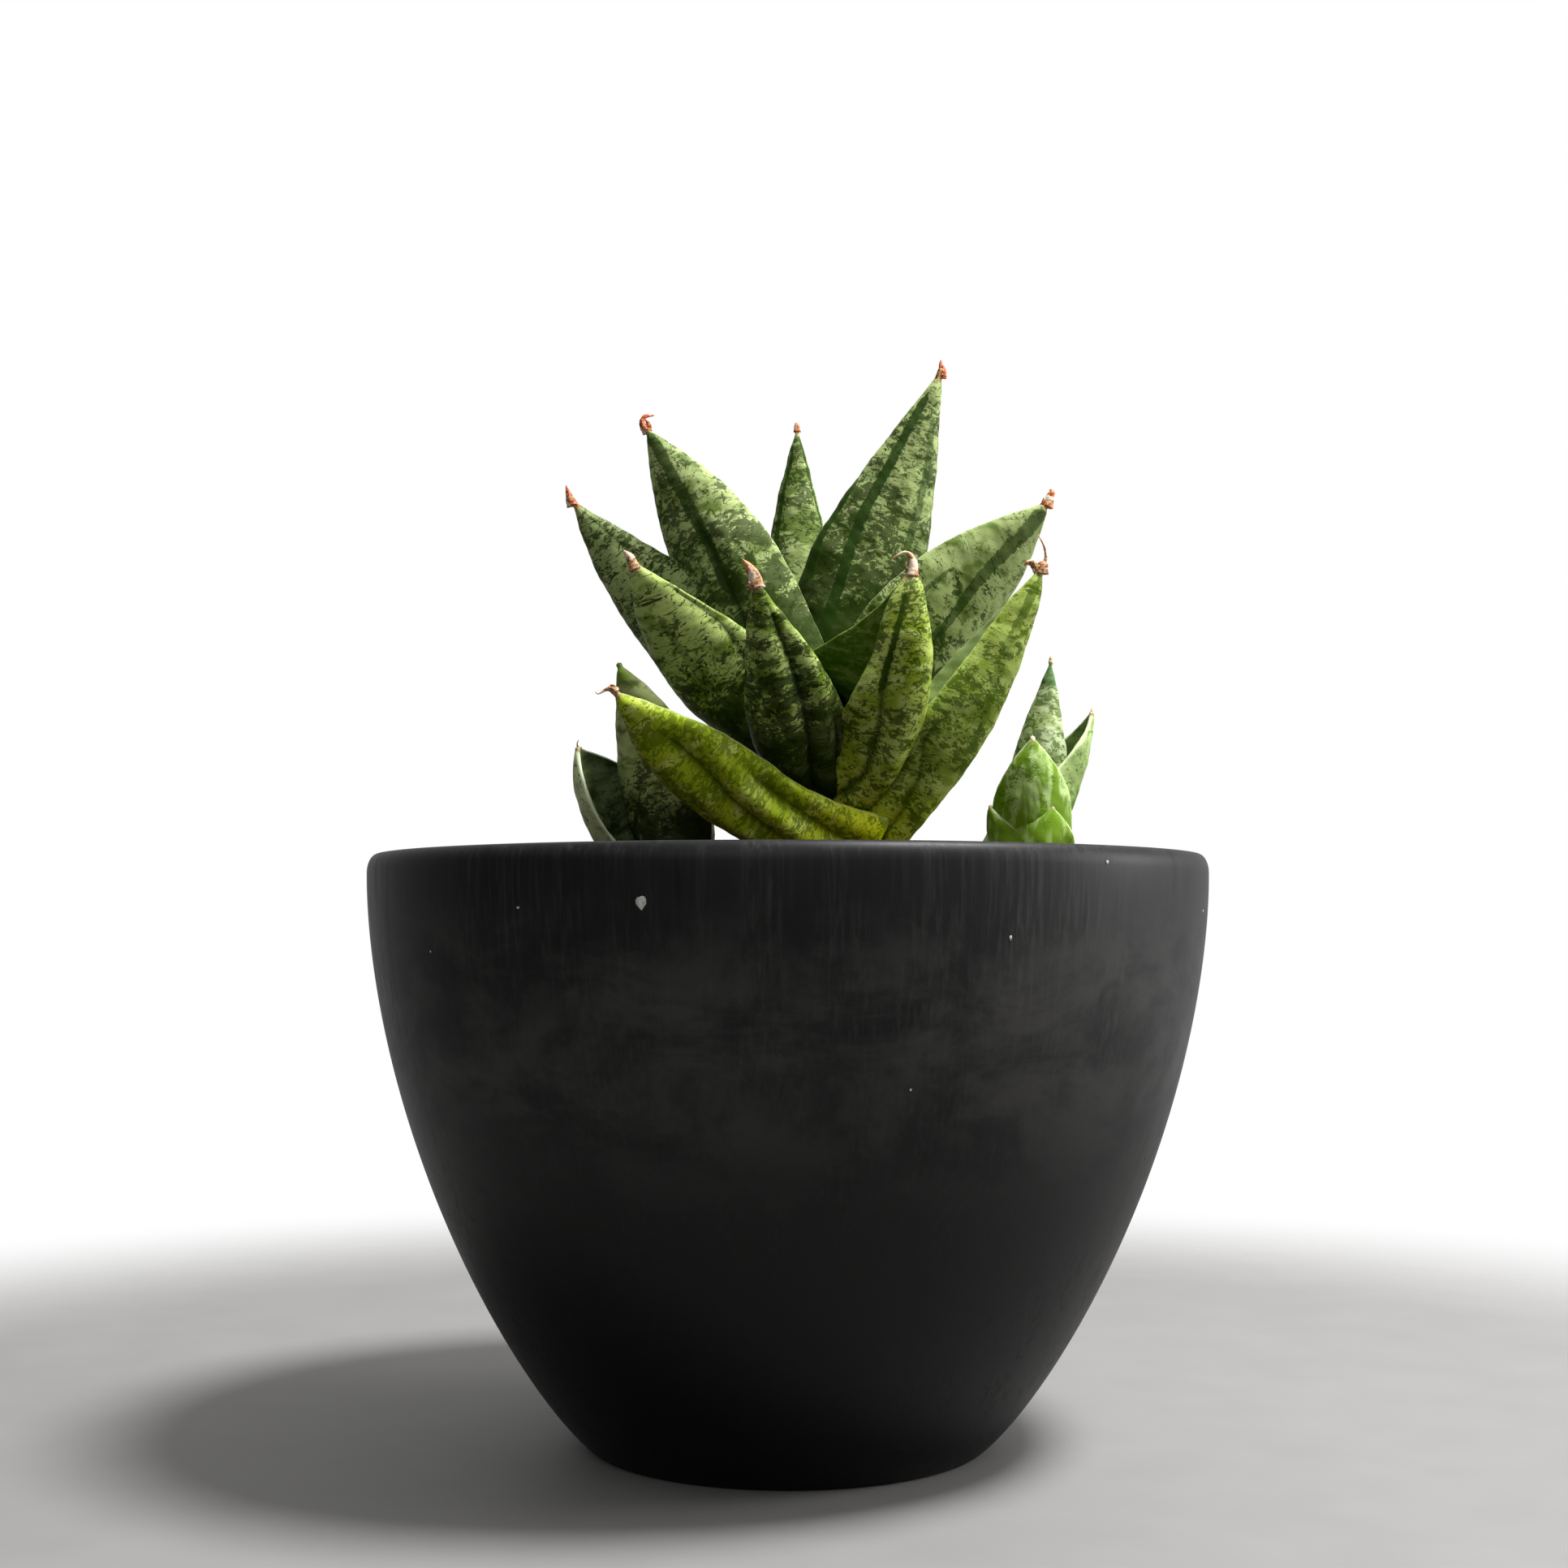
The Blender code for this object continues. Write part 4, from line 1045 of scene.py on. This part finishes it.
def add_soil(material):
    rim = inner_radius(SOIL_TOP) - 0.0004
    radii = rim * np.sqrt(np.linspace(0.0001, 1, 90))
    steps = 260
    points = []
    for radius in radii:
        for step in range(steps):
            angle = 2 * math.pi * step / steps
            x, y = radius * math.cos(angle), radius * math.sin(angle)
            points.append((x, y, soil_height(x, y)))
    low = inner_radius(SOIL_TOP - 0.02) - 0.0004
    for step in range(steps):
        angle = 2 * math.pi * step / steps
        points.append((low * math.cos(angle), low * math.sin(angle), SOIL_TOP - 0.02))
    faces = grid_faces(len(radii) + 1, steps).tolist()
    faces.append(tuple(range(steps))[::-1])
    faces.append(tuple(len(points) - steps + j for j in range(steps)))
    obj = new_object("potting_mix_top", points, faces, [material])
    return place_piece(obj, "potting_mix", "potting_mix")


def add_crumbs(name, count, sizes, material, seed, flat=1.0):
    """Angular crumbs strewn over the potting mix, joined in one mesh."""
    draw = random.Random(seed)
    shape = bmesh.new()
    rim = inner_radius(SOIL_TOP) - 0.003
    for _ in range(count):
        radius = rim * math.sqrt(draw.random())
        angle = draw.uniform(0, 2 * math.pi)
        x, y = radius * math.cos(angle), radius * math.sin(angle)
        size = draw.uniform(*sizes)
        turn = Euler([draw.uniform(0, 6.28) for _ in range(3)]).to_matrix().to_4x4()
        squeeze = Matrix.Diagonal((1.0, draw.uniform(0.5, 0.9), flat * draw.uniform(0.4, 0.8), 1))
        place = Matrix.Translation((x, y, soil_height(x, y) + size * 0.25))
        made = bmesh.ops.create_icosphere(shape, subdivisions=1, radius=size,
                                          matrix=place @ turn @ squeeze)
        for vertex in made["verts"]:
            vertex.co += Vector([draw.uniform(-0.18, 0.18) * size for _ in range(3)])
    mesh = bpy.data.meshes.new(name)
    shape.to_mesh(mesh)
    shape.free()
    mesh.materials.append(material)
    obj = bpy.data.objects.new(name, mesh)
    bpy.context.scene.collection.objects.link(obj)
    return place_piece(obj, "potting_mix")


def add_stem(name, foot, head, foot_radius, head_radius, material):
    """A tapered core with low rings where old leaves have come away."""
    foot, head = np.array(foot), np.array(head)
    axis = unit(head - foot)
    start = foot - axis * STEM_DEPTH
    rows = 60
    sides = 48
    shares = np.linspace(0, 1, rows)
    across = unit(np.cross(axis, (0, 1.0, 0)))
    above = np.cross(axis, across)
    height = shares * np.linalg.norm(head - start)
    radius = mix(foot_radius, head_radius, shares) - 0.00035 * (0.5 + 0.5 * np.cos(height * 1500))
    angles = np.linspace(0, 2 * np.pi, sides, endpoint=False)
    ring = across * np.cos(angles)[:, None] + above * np.sin(angles)[:, None]
    surface = (start + axis * height[:, None])[:, None] + ring * radius[:, None, None]
    faces = grid_faces(rows, sides).tolist()
    faces.append(tuple(range(sides))[::-1])
    faces.append(tuple((rows - 1) * sides + j for j in range(sides)))
    obj = new_object(name + "_core", surface.reshape(-1, 3), faces, [material])
    return place_piece(obj, "stem", name)


# Stage

def add_floor():
    shader = Shader("floor_pale")
    grain = shader.noise(shader.position(), 40.0, detail=3.0)
    colour = shader.blend(grain, (0.185, 0.18, 0.175, 1), (0.215, 0.21, 0.205, 1))
    shader.finish(colour, 0.7)
    x, y, _ = shader.parts(shader.position())
    far = shader.math("SQRT", shader.math("ADD", shader.math("MULTIPLY", x, x),
                                          shader.math("MULTIPLY", y, y)))
    clear = shader.node("BsdfTransparent")
    fade = shader.node("MixShader")
    shader.plug(fade.inputs[0], shader.rise(far, 0.25, 0.46))
    shader.plug(fade.inputs[1], shader.principled.outputs[0])
    shader.plug(fade.inputs[2], clear.outputs[0])
    output = shader.tree.nodes["Material Output"]
    shader.plug(output.inputs["Surface"], fade.outputs[0])
    angles = np.linspace(0, 2 * np.pi, 96, endpoint=False)
    rim = [(0.9 * math.cos(a), 0.9 * math.sin(a), 0.0) for a in angles]
    floor = new_object("floor", rim, [tuple(range(96))], [shader.material])


def add_area_light(name, place, size, power, colour=(1, 1, 1)):
    light = bpy.data.lights.new(name, "AREA")
    light.shape = "DISK"
    light.size = size
    light.energy = power
    light.color = colour
    obj = bpy.data.objects.new(name, light)
    obj.location = place
    target = Vector((0, 0, PLANTER_HEIGHT))
    obj.rotation_euler = (target - Vector(place)).to_track_quat("-Z", "Y").to_euler()
    bpy.context.scene.collection.objects.link(obj)


def set_world():
    """A white studio: bright behind the plant, dim in front, plain white to look at."""
    world = bpy.data.worlds.new("studio")
    bpy.context.scene.world = world
    world.use_nodes = True
    tree = world.node_tree
    tree.nodes.clear()
    place = tree.nodes.new("ShaderNodeTexCoord")
    facing = tree.nodes.new("ShaderNodeVectorMath")
    facing.operation = "DOT_PRODUCT"
    facing.inputs[1].default_value = (0.55, 0.68, 0.45)
    tree.links.new(place.outputs["Generated"], facing.inputs[0])
    share = tree.nodes.new("ShaderNodeMapRange")
    share.interpolation_type = "SMOOTHSTEP"
    share.inputs["From Min"].default_value = -0.6
    share.inputs["From Max"].default_value = 0.7
    share.inputs["To Min"].default_value = 0.09
    share.inputs["To Max"].default_value = 0.75
    tree.links.new(facing.outputs["Value"], share.inputs["Value"])
    lit = tree.nodes.new("ShaderNodeBackground")
    lit.inputs["Color"].default_value = (1, 1, 1, 1)
    tree.links.new(share.outputs["Result"], lit.inputs["Strength"])
    seen = tree.nodes.new("ShaderNodeBackground")
    seen.inputs["Color"].default_value = (1, 1, 1, 1)
    seen.inputs["Strength"].default_value = 1.0
    path = tree.nodes.new("ShaderNodeLightPath")
    both = tree.nodes.new("ShaderNodeMixShader")
    tree.links.new(path.outputs["Is Camera Ray"], both.inputs[0])
    tree.links.new(lit.outputs[0], both.inputs[1])
    tree.links.new(seen.outputs[0], both.inputs[2])
    output = tree.nodes.new("ShaderNodeOutputWorld")
    tree.links.new(both.outputs[0], output.inputs["Surface"])


def add_camera():
    data = bpy.data.cameras.new("camera")
    data.sensor_width = 36.0
    data.lens = 48.45
    data.clip_start = 0.01
    camera = bpy.data.objects.new("camera", data)
    camera.location = (-0.0009, -0.5193, 0.1220)
    camera.rotation_euler = (math.radians(94.04), 0, 0)
    bpy.context.scene.collection.objects.link(camera)
    bpy.context.scene.camera = camera


def leaf_slot(name):
    if name.startswith("left_pup"):
        return "pup_leaf"
    if name.startswith("right_pup"):
        return "young_leaf"
    return SLOTS.get(name, "leaf")


def add_leaves():
    skins = {name: leaf_material("leaf_" + name, look) for name, look in LOOKS.items()}
    straw = husk_material("dry_straw", (98, 56, 26), (202, 150, 100), (206, 134, 82))
    orange = husk_material("dry_orange", (132, 56, 18), (222, 132, 70), (232, 84, 26))
    bleached = husk_material("dry_bleached", (180, 148, 92), (234, 222, 182), (224, 204, 160))
    husks = {"grey": orange, "pup_mottled": bleached, "pup_pale": bleached}
    for index, leaf in enumerate(LEAVES):
        marks = MARKS[leaf.name]
        skin = add_leaf(index, leaf, marks, skins[marks.look])
        place_piece(skin, leaf_slot(leaf.name), leaf.name)
        for number, (places, radii) in enumerate(marks.wisps, 1):
            name = f"{leaf.name}_dry_tip_{number}"
            husk = husks.get(marks.look, straw)
            wisp = add_wisp(name, leaf.tip, places, radii, husk, seed=10 * index + number)
            place_piece(wisp, leaf_slot(leaf.name))


def main():
    bpy.context.scene.view_settings.view_transform = "Standard"
    add_camera()
    set_world()
    add_floor()
    add_area_light("key", (0.52, -0.20, 1.36), 0.35, 40.0)
    add_area_light("side", (1.1, 0.05, 0.40), 0.5, 7.4)
    add_area_light("fill", (-0.3, -1.6, 0.9), 0.9, 4.5)

    add_leaves()
    stem_skin = stem_material()
    for name, shape in STEMS.items():
        add_stem(name, *shape, stem_skin)
    add_planter(planter_material())
    add_flecks(soil_material("lime", (168, 166, 160), (208, 206, 200), 900.0))
    add_soil(soil_material("mix_dark", (24, 18, 13), (66, 50, 36), 420.0))
    add_crumbs("bark_crumbs", 1300, (0.0009, 0.0026),
               soil_material("bark", (38, 26, 17), (98, 70, 46), 700.0), seed=3)
    add_crumbs("perlite_grit", 110, (0.0006, 0.0016),
               soil_material("perlite", (170, 166, 156), (226, 222, 214), 900.0), seed=5)


main()
